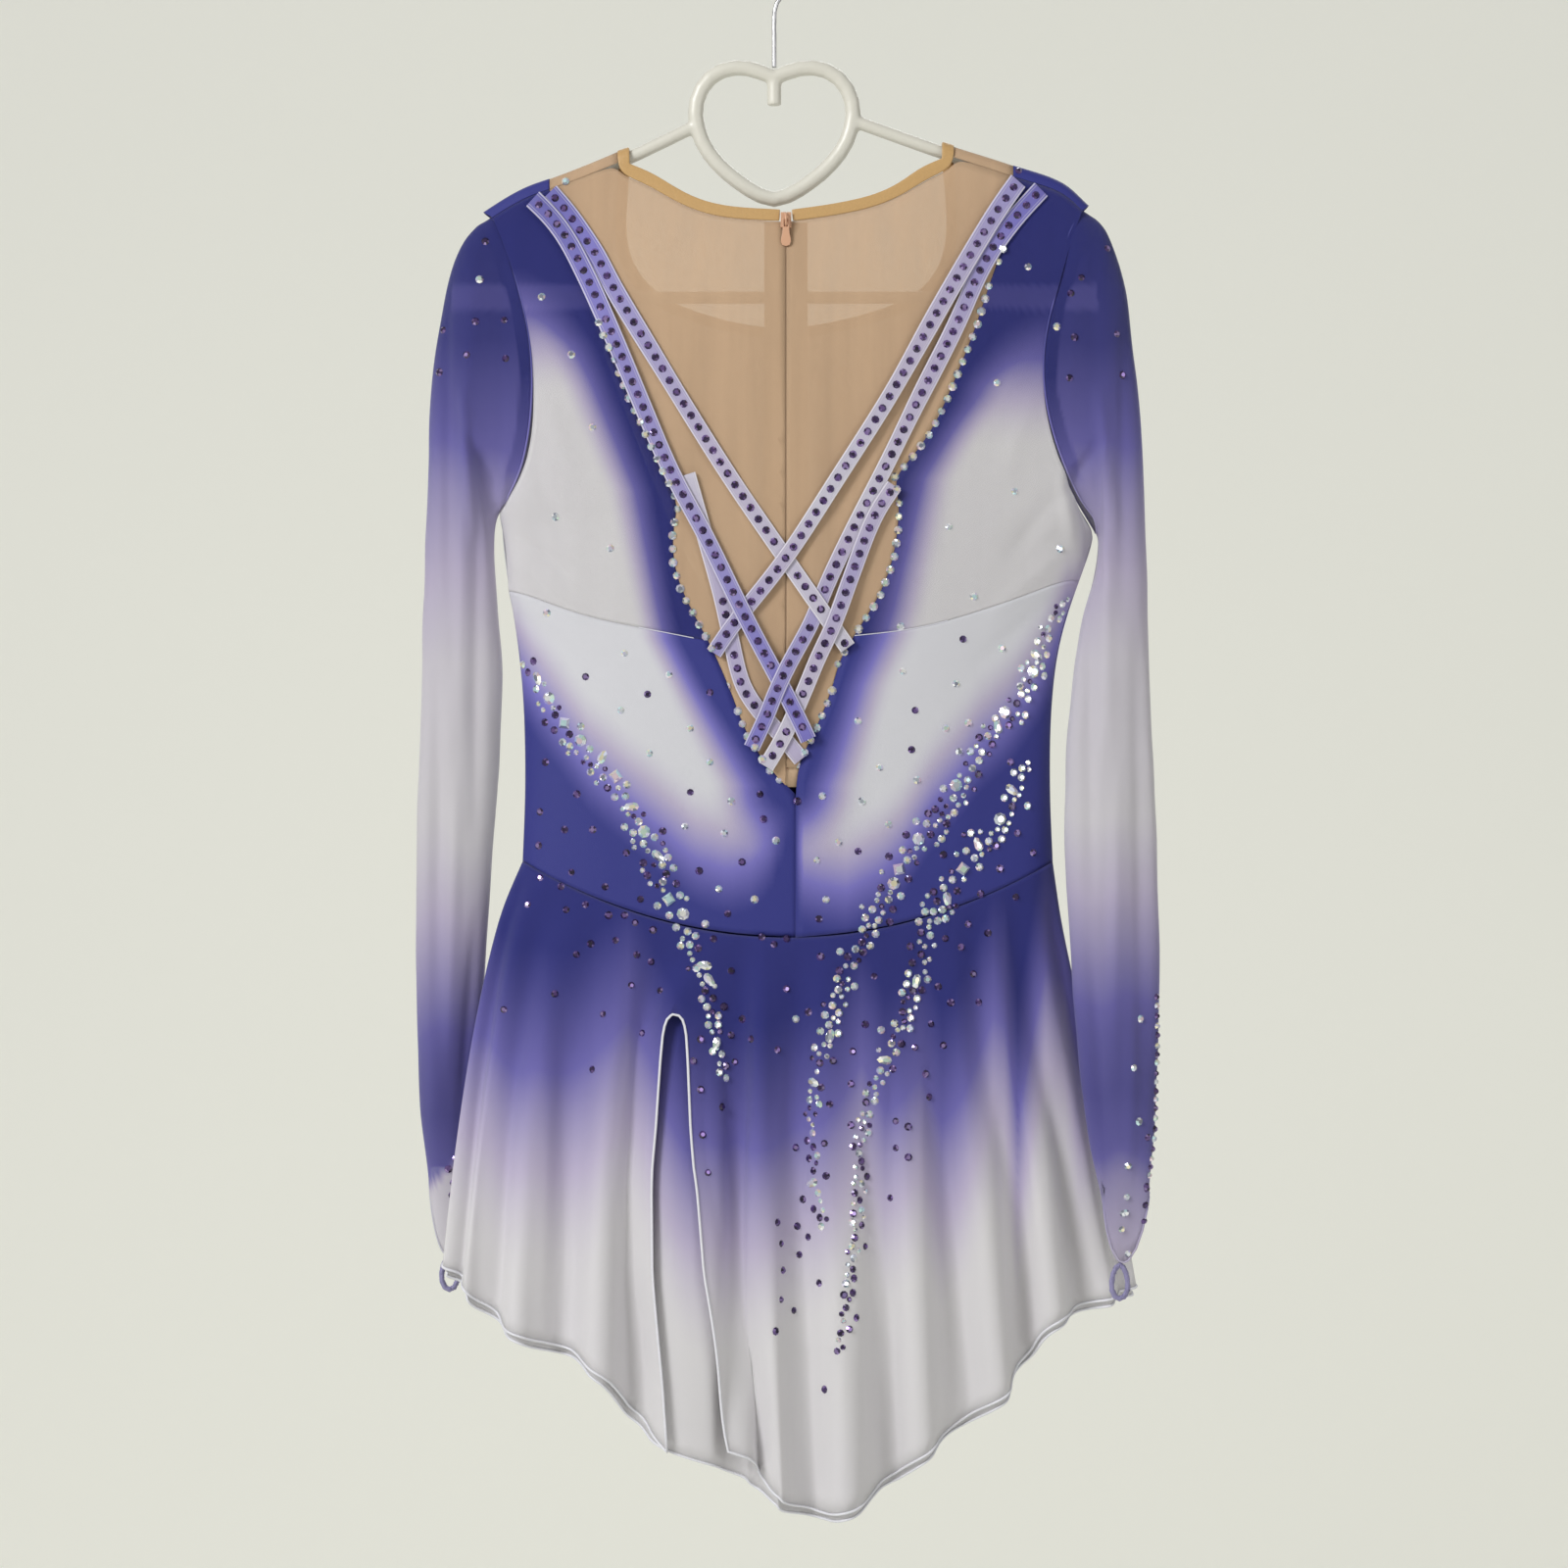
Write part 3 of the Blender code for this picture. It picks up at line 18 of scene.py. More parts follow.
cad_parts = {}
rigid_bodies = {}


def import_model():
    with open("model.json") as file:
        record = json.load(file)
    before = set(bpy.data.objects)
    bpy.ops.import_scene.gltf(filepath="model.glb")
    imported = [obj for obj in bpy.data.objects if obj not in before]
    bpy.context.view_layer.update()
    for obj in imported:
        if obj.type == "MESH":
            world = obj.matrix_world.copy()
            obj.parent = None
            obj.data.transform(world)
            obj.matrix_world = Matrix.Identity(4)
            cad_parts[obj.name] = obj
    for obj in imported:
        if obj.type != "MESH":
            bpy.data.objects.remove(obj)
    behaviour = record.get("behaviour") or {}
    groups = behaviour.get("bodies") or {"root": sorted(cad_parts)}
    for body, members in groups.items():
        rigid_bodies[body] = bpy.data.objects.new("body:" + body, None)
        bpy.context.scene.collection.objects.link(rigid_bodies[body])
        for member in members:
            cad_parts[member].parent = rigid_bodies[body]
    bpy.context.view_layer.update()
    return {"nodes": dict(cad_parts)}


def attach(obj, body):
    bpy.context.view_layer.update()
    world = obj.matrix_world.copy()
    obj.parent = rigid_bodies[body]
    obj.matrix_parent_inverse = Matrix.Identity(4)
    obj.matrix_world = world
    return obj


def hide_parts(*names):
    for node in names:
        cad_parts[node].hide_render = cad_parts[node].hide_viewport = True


bl_info = {
    "name": "Skating Dress Looks",
    "version": (1, 0, 0),
    "blender": (4, 5, 0),
    "location": "View3D > Sidebar > Dress",
    "description": "Dyed cloth, straps, zip, hanger and rhinestones of a figure skating dress",
    "category": "Object",
}

for left_over in list(bpy.data.objects):
    bpy.data.objects.remove(left_over, do_unlink=True)
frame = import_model()

MM = 0.001
BACK = -1
FRONT = 1
INWARD = Vector((0, 1, 0))
# Rays at the dress start this far from it, in metres
RAY_START = 0.3
# Wall of each cloth solid, and how nearly an edge's length has to match it
SOLID_WALLS = {
    "neck_binding": 1.8, "back_mesh_left": 1.0, "back_mesh_right": 1.0, "front_yoke": 1.0, "zip_tape": 1.0,
    "skirt_outer": 1.0, "skirt_under": 1.0,
}
CLOTH_WALL = 1.2
WALL_MATCH = 0.003
WELD = 1e-6
SIDES = ("left", "right")
STRAPS = ("left_1", "left_2", "left_3", "right_1", "right_2", "right_3")
# Middle line of each strap, filled in when the straps are made
MIDDLES = {}

Cut = namedtuple("Cut", "width length area held rests_on with_pieces")
Streak = namedtuple("Streak", "route spread clear")
Lamp = namedtuple("Lamp", "name place size power")

# Names that end in EASE hold where a soft change starts and over what length.  Names that end in
# WAVES hold an unevenness: its height in millimetres, its waves in a metre across, out and up, and
# sometimes a shift
CLOTH_WAVES = (0.5, 16, 8, 9)
WEAVE_WAVES = (0.12, 60, 30, 30, 5)
SLEEVE_WAVES = (1.1, 95, 40, 5)
SLEEVE_DYE_WAVES = (9.0, 60, 40, 6)
SKIRT_WAVES = (0.8, 22, 22, 7, 9)
SKIRT_FINE_WAVES = (0.9, 75, 75, 3.5)
SKIRT_DYE_WAVES = (16.0, 42, 20, 0, 3)

# Where the dye is half strong above the waist, by the place across; the step is the back's closing, and
# just left of it the blue comes higher, partly dye and partly painted shade of the hollow beside the seam
LOW_BLUE_AND_SHADE = [
    (-145, 415), (-104.5, 471), (-71.5, 500), (-45, 524), (-26, 530), (-12, 526), (-2, 514), (6, 490),
    (12, 470), (12.3, 533), (24, 537), (40, 541), (60.5, 531), (71.5, 520), (88, 494), (104.5, 475),
    (115, 461), (132, 446), (150, 422), (165, 390),
]
LOW_BLUE_FADE = 58.0
# The line slants, so a point is nearer to it than the drop says
LOW_BLUE_SLANT = 0.72
# The front has no closing: near its middle both sides are alike, and further out they differ
FRONT_MIDDLE = 6.0
FRONT_EASE = (40, 60)
# The middle of the back, and the drop of the keyhole's tip
BACK_MIDDLE = 8.0
KEYHOLE_TIP = 488.0
# The keyhole's left (-1) and right edge by the drop, without their notch, and the band of dye along
# each: how far out it is full, and where it ends
BAND_EDGE = {
    -1: [(150, -127), (207, -104), (235, -96), (323, -58), (406, -38), (488, 6)],
    1: [(166, 132), (206, 121), (272, 98), (316, 70), (404, 47), (478, 14), (488, 8)],
}
BAND_FULL = {
    -1: [(212, 10), (240, 2), (322, 6), (388, 11), (432, 12), (488, 6)],
    1: [(212, 12), (262, -2), (432, 0), (460, 3), (488, 5)],
}
BAND_END = {
    -1: [(212, 44), (240, 38), (322, 38), (432, 39), (488, 43)],
    1: [(212, 50), (262, 31), (322, 34), (388, 37), (432, 34), (488, 44)],
}
# Where the shoulders' dye starts to fade and has gone
SHOULDER_FADE = {-1: (186, 270), 1: (210, 300)}
# The hanger's bar shows pale through the sheer cloth
BAR_DROPS = (206.0, 220.5)
BAR_REACH = 182.0
BAR_SOFT = 4.0
BAR_PALER = 0.11
# Seam between the upper and the lower back, the parts of it with white thread, and how near it an
# edge has to be
MID_SEAM = [(-148, 380), (-80, 399), (-36, 413), (50, 408), (87, 398), (170, 377)]
THREAD_PARTS = ((-76, -40), (46, 96))
SEAM_MATCH = 4.5
OVERLOCK_RADIUS = 0.26

# How strong the dye is on a sleeve, by the drop
SLEEVE_DYE = [
    (150, 1.0), (235, 0.92), (285, 0.66), (325, 0.42), (370, 0.22), (420, 0.08), (505, 0.04), (545, 0.2),
    (585, 0.46), (625, 0.68), (660, 0.76), (690, 0.66), (712, 0.42), (740, 0.26), (760, 0.18),
]
# The left sleeve's dye ends lower, and nearly stops at a slanting line above the cuff's point
LEFT_LATER = 18.0
LEFT_EASE = (480, 60)
CUFF_LINE = (-179, 697)
CUFF_LINE_SLOPE = 0.93
CUFF_LINE_SOFT = 7.0
CUFF_PALER = 0.8
# The turned-in edge at the armhole: its width and softness, how much deeper, and where it ends
TURNED_IN_EASE = (6.5, 1.6)
TURNED_IN_DEEPER = 0.16
TURNED_IN_END_EASE = (296, 26)
# The right sleeve tapers to its point at the back too: how low it comes, by the distance from its
# middle, and the stretch over which the cloth above it gives way
CUFF_MIDDLE = 195.6
CUFF_TAPER = (680, 32.7)
CUFF_RIM = 1.5
CUFF_LEAN = 0.34
CUFF_POINT = [(0, 755.5), (2.5, 754.5), (6.75, 747.5), (10.1, 736.5), (12.4, 723), (13.3, 712.7)]
# The sleeve's top laps over the shoulder: how far, how near the armhole, and down to where
LAP = 3.0
LAP_REACH = 8.0
LAP_EASE = (178, 22)
# A drop between the armhole and the cuff, and how much fuller than its solid a thumb loop is
SLEEVE_MIDDLE = 450.0
LOOP_FULLER = 0.7
# How much deeper a sleeve's creases are than the bodice's, and the height of its slanting wrinkles
SLEEVE_CREASED = 1.5
SLEEVE_SLANTING = 0.8
# The armhole's seam against a rolled hem
SEAM_THINNER = 0.9

# Where the dye is half strong on the skirt, by the place across; at 137 across the blue reaches lower, as
# painted shade in the deep recess between folds there
SKIRT_BLUE_AND_SHADE = [
    (-180, 640), (-160, 645), (-148, 656), (-126, 668), (-104, 654), (-82, 634), (-66, 664), (-50, 690),
    (-27, 702), (-6, 698), (14, 698), (27, 690), (49, 660), (62, 686), (82, 668), (94, 690), (114, 650),
    (123, 630), (130, 640), (137, 694), (146, 640), (153, 606), (164, 614), (172, 650), (200, 640),
]
# How long its fade is, and how much lower it lies on the under layer
SKIRT_FADE = 210.0
UNDER_LATER = 12.0
# The skirt's cloth and its rolled hem against the other pieces'
SKIRT_THINNER = 0.8
SKIRT_HEM_THICKER = 1.25
# A drop between the waist seam and the top of the slit
WAIST_FOOT = 600.0
# The slit in the outer skirt, what of the cloth is its edge, and how far it moves with the edge
SLIT_ACROSS = -46.0
SLIT_TOP = 616.0
SLIT_FOOT = 826.0
SLIT_EDGE = 34.0
SLIT_LEAN = 0.06
SLIT_REACH = 90.0
SLIT_FADE = 26.0
SLIT_BLEND = 60.0
SLIT_RISE = 50.0
SLIT_CLEAR = 0.9
# Middle and half width of the slit, by the drop
SLIT_MIDDLE = [(616, -55.5), (700, -57), (760, -54), (817, -46), (870, -40)]
SLIT_HALF = [
    (616, 1.2), (617.5, 3.4), (620, 5.0), (626, 6.4), (640, 7.6), (680, 9.9), (713, 13), (817, 16.5),
    (870, 18),
]
# The skirt's folds start softly below the waist, and their places run from the waist to the hem
FOLD_EASE = (545, 150)
FOLD_RUN = (560, 300)
# Ridges and valleys that run down the skirt: across at the waist and at the hem, width and depth
FOLDS = {
    BACK: [
        (-156, -168, 8, -2.2), (-136, -148, 8, 2.6), (-117, -118, 8, -3.4), (-87, -96, 10, 3.0),
        (-72, -75, 7, -3.0), (-36, -30, 9, 1.6), (-17, -26, 7, -4.6), (-6, -15, 6, 3.2), (13, 9, 9, -1.8),
        (30, 28, 8, 1.2), (51, 42, 9, 3.2), (66, 64, 6, -2.6), (82, 82, 7, 2.0), (99, 97, 7, -3.2),
        (121, 124, 8, 2.6), (134, 141, 6, -3.8), (152, 157, 8, 2.8),
    ],
    FRONT: [
        (-150, -160, 9, 2.4), (-118, -126, 9, -2.8), (-84, -88, 10, 2.6), (-52, -56, 9, -2.6),
        (-20, -20, 10, 2.4), (14, 16, 9, -2.6), (46, 50, 10, 2.6), (80, 84, 9, -2.8), (112, 118, 9, 2.4),
        (140, 150, 8, -2.4),
    ],
}

# How strong the dye is on each strap, by the drop
STRAP_DYE = {
    "left_1": [(150, 0.75), (220, 0.45), (300, 0.22), (411, 0.12)],
    "left_2": [(150, 0.8), (230, 0.55), (330, 0.42), (400, 0.55), (462, 0.6)],
    "left_3": [(314, 0.12), (400, 0.3), (474, 0.25)],
    "right_1": [(148, 0.45), (220, 0.25), (330, 0.1), (380, 0.3), (414, 0.45)],
    "right_2": [(150, 0.7), (230, 0.3), (330, 0.12), (400, 0.4), (467, 0.62)],
    "right_3": [(320, 0.2), (370, 0.35), (420, 0.2), (478, 0.12)],
}
STRAP_THICKNESS = 1.0
BINDING_THICKNESS = 1.7
# The zip's teeth, and the tape's end, which narrows to a tip
ZIP_ACROSS = 6.6
TAPE_END = 489.0
TAPE_TIP = 8.0
TAPE_SINK = 0.4
TAPE_THICKNESS = 0.6
TOOTH_FIRST = 176.0
TOOTH_LAST = 480.0
TOOTH_PITCH = 1.3
TOOTH_SIZE = (2.6, 0.5, 0.7)

# How many widths a crease reaches, how bluntly it ends, and how soon it fades where the cloth turns
CREASE_REACH = 3
CREASE_TAPER = 0.7
CREASE_TURN = 1.4
# Soft troughs (depth below 0) and ridges of the hanging cloth: start, end, width and depth
CREASES = {
    BACK: [
        (-138, 300, -118, 352, 5, -1.1), (-146, 345, -112, 372, 4, -1.3), (-148, 360, -104, 395, 5, 1.0),
        (-150, 385, -96, 430, 6, -0.8), (-132, 262, -112, 318, 6, 0.9), (160, 322, 128, 366, 5, -1.2),
        (166, 352, 118, 396, 5, 1.0), (170, 372, 110, 424, 6, -0.8), (148, 262, 126, 324, 6, 0.8),
        (-70, 470, -30, 540, 7, -0.7), (60, 480, 30, 545, 7, -0.7), (-120, 480, -88, 545, 8, 0.7),
        (120, 470, 96, 545, 8, 0.7), (-40, 210, -34, 420, 9, -0.7), (40, 205, 36, 400, 10, -0.6),
        (-14, 200, -12, 440, 6, 0.5), (24, 200, 22, 450, 6, 0.5), (-64, 200, -50, 330, 7, 0.5),
        (-166, 300, -151, 376, 4, -3.0), (-176, 262, -169, 352, 3.5, 1.9),
        (-150, 300, -158, 352, 3.5, 1.6), (-178, 282, -152, 326, 4, -1.8),
        (170, 306, 184, 378, 4.5, -3.0), (182, 262, 192, 350, 3.5, 1.8), (160, 306, 168, 356, 3.5, 1.6),
        (186, 290, 160, 330, 4, -1.6), (-186, 200, -184, 400, 4, -1.7), (-174, 250, -178, 470, 4, 1.4),
        (-166, 300, -170, 520, 4, -1.5), (-190, 420, -194, 640, 4.5, -1.7),
        (-180, 470, -186, 660, 4, 1.3), (-170, 560, -180, 690, 3.5, -1.3),
        (198, 210, 196, 400, 4.5, -1.8), (186, 260, 187, 470, 4.5, 1.4), (176, 350, 176, 560, 4.5, -1.6),
        (205, 400, 204, 640, 5, -1.7), (192, 470, 188, 660, 4.5, 1.5), (174, 560, 184, 700, 4.5, -1.6),
        (199, 600, 198, 710, 4, 1.1),
    ],
    FRONT: [
        (-138, 300, -104, 362, 6, -1.2), (158, 310, 118, 372, 6, -1.2), (-120, 450, -80, 545, 9, -0.9),
        (120, 440, 84, 545, 9, -0.9), (-50, 300, -40, 520, 10, 0.8), (46, 310, 40, 520, 10, 0.8),
        (4, 380, 6, 545, 8, -0.6), (-184, 220, -186, 420, 4.5, -1.6), (-172, 330, -176, 560, 4.5, 1.4),
        (-190, 480, -192, 660, 4.5, -1.5), (196, 220, 196, 420, 5, -1.7), (182, 330, 180, 560, 5, 1.4),
        (204, 470, 202, 680, 5, -1.6),
    ],
}

# The keyhole's stoned edges, from the shoulder to the tip
KEYHOLE_EDGES = [
    [
        (-121.5, 164), (-116, 179), (-111, 193), (-106, 207), (-96, 235), (-82, 270), (-69, 298),
        (-57, 323), (-54, 332), (-57, 345), (-57, 362), (-52, 380), (-37, 407), (-30, 422), (-23, 439),
        (-16, 459), (-3, 479), (6, 488),
    ],
    [
        (129, 186), (121, 206), (114, 230), (97, 272), (88, 290), (76, 306), (67, 316), (70, 328),
        (70, 341), (67, 362), (59, 383), (45, 404), (36, 419), (32, 437), (25, 453), (13, 478),
    ],
]
# Steps between the stones of a row, and how unevenly they are glued, in radians
KEYHOLE_PITCH = 7.6
STRAP_PITCH = 7.7
STONE_TILT = 0.05
# Room that a stone needs to the next, below 0 where they may overlap
KEYHOLE_GAP = -0.6
STRAP_GAP = -1.2
LARGE_GAP = -1.5
SINGLE_GAP = -0.5
# Least and greatest size in a row, as a share of the middle size
KEYHOLE_SIZES = (0.92, 1.12)
SINGLE_SIZES = (0.86, 1.04)
EDGE_SIZES = (0.8, 1.0)
# Corners, table and height of each cut, for a radius of 1
GEMS = {"round": (8, 0.5, 0.5), "square": (4, 0.55, 0.42), "drop": (8, 0.45, 0.45)}
# A drop is a round stone drawn out to its tip and foot, and narrowed
DROP_TIP = 1.9
DROP_FOOT = 1.1
DROP_WIDTH = 0.85
# Drifts of stones: their route, their spread by the share of it gone, and the share of clear stones
STREAKS = [
    Streak(
        [
            (-140, 419), (-133, 430), (-121, 454), (-105, 474), (-91, 487), (-80, 504), (-69, 520),
            (-61, 542), (-55, 562), (-47, 578), (-40, 597), (-34, 619), (-30, 641), (-28, 655),
        ],
        [(0, 5), (0.15, 12), (0.5, 15), (0.75, 9), (1, 4)], 0.7),
    Streak(
        [
            (165, 383), (154, 399), (146, 421), (138, 443), (124, 457), (113, 474), (102, 490), (91, 507),
            (80, 523), (69, 537), (61, 553), (52, 573), (41, 592), (33, 614), (28, 630), (22, 652),
            (21, 680), (23, 707), (26, 735),
        ],
        [(0, 5), (0.12, 11), (0.4, 15), (0.65, 9), (1, 4)], 0.72),
    Streak(
        [
            (143, 474), (138, 487), (129, 509), (116, 520), (107, 531), (99, 545), (91, 562), (85, 578),
            (80, 597), (74, 614), (66, 633), (61, 647), (55, 658), (50, 680), (48, 702), (47, 724),
            (45, 740), (43, 762), (38, 790), (36, 804),
        ],
        [(0, 6), (0.15, 13), (0.35, 13), (0.6, 7), (1, 4)], 0.68),
]
STREAK_STEP = 2.2
STREAK_TRIES = 10
# Of a drift's spread, how far its stones stray across and down, and how many are small
STRAY = (0.27, 0.22)
SMALL_SHARE = 0.3
# Stones that are laid singly, besides the rows and the drifts
CLEAR_SINGLES = [
    (204, 618), (203, 675), (197, 700), (195, 727), (198, 750), (200, 645),
    (-118, 147), (143, 196), (-166, 203), (-131, 213), (159, 230), (-114, 246), (125, 262), (-102, 287),
    (135, 323), (-123, 337), (98, 343), (-92, 355), (161, 355), (112, 382), (-128, 391), (71, 399),
    (-84, 414), (128, 411), (-59, 426), (72, 424), (102, 431), (-86, 446), (-47, 456), (47, 452), (96, 456),
    (109, 453), (-70, 470), (-36, 475), (59, 478), (80, 485), (-24, 497), (27, 494), (49, 497), (-50, 511),
    (-28, 515), (1, 519), (64, 510), (36, 520), (24, 530), (-31, 546), (-11, 552), (29, 552), (12, 619),
]
DARK_SINGLES = [
    (-163, 181), (188, 185), (173, 202), (167, 211), (-168, 227), (-152, 226), (-187, 231), (169, 236),
    (193, 234), (-173, 246), (-151, 248), (-189, 255), (166, 259), (196, 257), (106, 406), (-136, 418),
    (-106, 427), (-71, 437), (-36, 436), (79, 446), (-124, 457), (77, 468), (-129, 475), (133, 475),
    (-111, 493), (-47, 492), (-8, 493), (13, 497), (-132, 503), (-6, 507), (-118, 513), (-102, 513),
    (137, 515), (-133, 522), (-83, 526), (47, 525), (95, 527), (146, 526), (-114, 537), (-42, 536),
    (-18, 531), (127, 535), (-132, 540), (-120, 545), (-95, 545), (116, 549), (-139, 555), (-117, 558),
    (-106, 555), (-75, 552), (136, 551), (-93, 561), (-84, 561), (-78, 565), (-68, 569), (-26, 560),
    (25, 563), (109, 566), (-103, 577), (-89, 575), (-34, 574), (-7, 573), (0, 577), (7, 574), (96, 574),
    (105, 579), (120, 571), (121, 571), (-111, 583), (-77, 583), (-69, 587), (26, 584), (-24, 592),
    (56, 595), (112, 594), (-123, 605), (-80, 600), (-64, 603), (7, 602), (92, 601), (-152, 614),
    (-96, 616), (-28, 612), (-18, 619), (19, 615), (99, 610), (115, 610), (-74, 627), (-24, 628), (51, 622),
    (88, 622), (-41, 630), (-13, 630), (2, 636), (44, 637), (79, 635), (95, 634), (-102, 647), (-45, 642),
    (-22, 643), (33, 642), (-41, 658), (43, 655), (85, 650), (-29, 668), (31, 666), (87, 663), (43, 678),
    (68, 676), (75, 679), (-40, 683), (28, 688), (12, 691), (68, 691), (75, 696), (-37, 704), (29, 706),
    (52, 707), (65, 719), (16, 720), (22, 725), (48, 720), (2, 732), (13, 735), (49, 734), (4, 744),
    (19, 741), (51, 746), (5, 759), (14, 751), (44, 758), (25, 766), (4, 775), (40, 779), (44, 771),
    (11, 782), (46, 785), (1, 792), (37, 793), (42, 791), (35, 803), (28, 825),
    (138, 141), (139, 135), (208, 684), (208, 713), (-186, 707), (-183, 715), (-184, 722), (-182, 701),
]
# Large stones of the drifts, by their cut, and the share of the large size that each cut has
LARGE_SHARES = {"round": 1.0, "square": 1.15, "drop": 0.8}
LARGE_STONES = {
    "round": [
        (146, 424), (-127, 439), (130, 447), (-109, 463), (102, 488), (127, 507), (-73, 514), (81, 518),
        (67, 543), (-51, 560),
    ],
    "square": [(-118, 453), (-89, 483), (70, 535), (106, 535), (-59, 552)],
    "drop": [
        (147, 414), (-134, 427), (126, 456), (-97, 473), (133, 490), (-79, 500), (-66, 527), (115, 522),
        (97, 551), (-38, 589), (-37, 596), (80, 597), (31, 629), (-32, 632), (63, 642), (21, 654),
        (22, 710),
    ],
}
# Stones on the right sleeve's outer edge: their drops, the steps between them, and the depths at which
# the edge is looked for
SLEEVE_EDGE = (606.0, 742.0)
EDGE_STEPS = (4.16, 6.24)
EDGE_DEPTHS = (-36, -34, -32, -30, -28, -26, -38)
EDGE_GAP = 2.0
# They turn a little to the back, and stand proud
EDGE_TURN = 0.3
EDGE_HEIGHT = 1.3
# Tints of the facets of clear and of dark stones: partly their own coloured coating, partly painted glints
# and dark reflections
CLEAR = [
    (0.95, 0.96, 0.98), (0.80, 0.84, 0.90), (0.98, 0.98, 0.95), (0.55, 0.60, 0.68), (0.62, 0.86, 0.90),
    (0.90, 0.72, 0.80), (0.92, 0.86, 0.62), (0.66, 0.84, 0.72), (0.28, 0.30, 0.38), (0.74, 0.72, 0.92),
]
DARK = [
    (0.050, 0.026, 0.10), (0.10, 0.05, 0.20), (0.025, 0.015, 0.05), (0.19, 0.11, 0.34), (0.07, 0.04, 0.15),
    (0.34, 0.24, 0.52), (0.04, 0.02, 0.08),
]

# The camera's sensor and aim, with the dress's face a little nearer than the hook
SENSOR = 36.0
DRESS_FACE = 20.0
PICTURE_MIDDLE = (5.5, 487.3)
# The room, in metres and watts
ROOM_SIZE = 8.0
FLOOR_PLACE = (0, 0, -1.9)
WALL_PLACE = (0, 3.9, 1.0)
LAMPS = (
    Lamp("key", (-1.9, -1.9, 1.0), 1.0, 68),
    Lamp("fill", (1.9, -2.3, 0.0), 1.6, 16),
    Lamp("back", (0.4, 2.6, 0.8), 1.6, 22),
)

# Cut sizes of the pieces of cloth, in millimetres and square millimetres, and what is sewn on them
CUTS = {
    "front_bodice_cloth": Cut(352, 436, 82400, "hung", ["hanger_frame"], []),
    "back_upper_left_cloth": Cut(126, 260, 15700, "hung", ["front_bodice"], []),
    "back_upper_right_cloth": Cut(140, 264, 16700, "hung", ["front_bodice"], []),
    "back_lower_left_cloth": Cut(170, 198, 23400, "hung", ["front_bodice"], ["overlock_left"]),
    "back_lower_right_cloth": Cut(163, 204, 23500, "hung", ["front_bodice"], ["overlock_right"]),
    "back_mesh_left_cloth": Cut(
        136, 352, 23500, "stretched", ["hanger_frame"],
        ["strap_left_1_cloth", "strap_left_2_cloth", "strap_left_3_cloth"]),
    "back_mesh_right_cloth": Cut(
        131, 346, 23200, "stretched", ["hanger_frame"],
        ["strap_right_1_cloth", "strap_right_2_cloth", "strap_right_3_cloth"]),
    "front_yoke_cloth": Cut(266, 314, 32700, "stretched", ["hanger_frame"], ["binding_band"]),
    "zip_tape_cloth": Cut(24, 303, 7250, "stretched", ["back_mesh_left"], ["zip_chain", "slider"]),
    "sleeve_left_cloth": Cut(
        128, 596, 56900, "hung", ["front_bodice"],
        ["cuff_hem_left", "armhole_seam_left", "thumb_cord_left"]),
    "sleeve_right_cloth": Cut(
        130, 600, 58300, "hung", ["front_bodice"],
        ["cuff_hem_right", "armhole_seam_right", "thumb_cord_right"]),
    "skirt_under_cloth": Cut(1005, 372, 197000, "gathered", ["front_bodice"], ["skirt_under_hem"]),
    "skirt_outer_cloth": Cut(1005, 368, 192000, "gathered", ["front_bodice"], ["skirt_outer_hem"]),
}


def smooth(t):
    """Ease from 0 to 1 while t goes from 0 to 1."""
    t = min(1.0, max(0.0, t))
    return t * t * (3 - 2 * t)


def eased(at, start, length):
    """Ease from 0 to 1 over a length that begins at start."""
    return smooth((at - start) / length)


def level(rows, at):
    """Value between the table's rows, level beyond its ends."""
    if at <= rows[0][0]:
        return rows[0][1]
    for (low, low_value), (high, high_value) in zip(rows, rows[1:]):
        if at <= high:
            t = (at - low) / (high - low)
            return low_value + (high_value - low_value) * t
    return rows[-1][1]


def spot_of(point):
    """Across and drop of a point, in millimetres."""
    return point.x / MM, -point.z / MM


def ripple(point, height, across, out, up, shift=0):
    """Soft noise at a point, with so many waves in a metre along each axis."""
    return height * noise.noise(Vector((point.x * across, point.y * out, point.z * up + shift)))


def hue(red, green, blue):
    """A colour as it shows, turned into the light values that shaders use."""
    return tuple(((c + 0.055) / 1.055) ** 2.4 if c > 0.04 else c / 12.92 for c in (red, green, blue))


def colour_choice(name, description, *tint):
    """A colour that the user can change, given as it shows."""
    return bpy.props.FloatVectorProperty(
        name=name, description=description, subtype="COLOR", size=3, default=hue(*tint))


def length_choice(name, description, size):
    """A length that the user can change, given in millimetres."""
    return bpy.props.FloatProperty(name=name, description=description, unit="LENGTH", default=size * MM)


class DressCloth(bpy.types.PropertyGroup):
    """Colours and sizes of the cloth."""
    white: colour_choice("White", "Undyed cloth", 0.93, 0.92, 0.93)
    matt: colour_choice("Matt white", "Undyed stretch cloth", 0.80, 0.80, 0.82)
    lilac: colour_choice("Lilac", "Cloth with a little dye", 0.80, 0.76, 0.87)
    periwinkle: colour_choice("Periwinkle", "Cloth with half the dye", 0.45, 0.425, 0.72)
    blue: colour_choice("Blue", "Fully dyed cloth", 0.155, 0.172, 0.485)
    nude: colour_choice("Nude", "Mesh that fills the keyhole", 0.82, 0.695, 0.57)
    gold: colour_choice("Binding", "Neck binding", 0.76, 0.61, 0.40)
    thickness: length_choice("Thickness", "How thick the cloth is", 0.45)
    hem: length_choice("Hem", "Radius of a rolled hem", 0.6)
    weave: length_choice("Weave", "Size of one cell of the knit", 0.5)


class DressStones(bpy.types.PropertyGroup):
    """Sizes of the rhinestones."""
    small: length_choice("Small", "Radius of a small stone", 1.6)
    middle: length_choice("Middle", "Radius of a middle stone", 2.35)
    large: length_choice("Large", "Radius of a large stone", 3.7)
    seed: bpy.props.IntProperty(name="Seed", description="Which scatter of stones is laid", default=7)


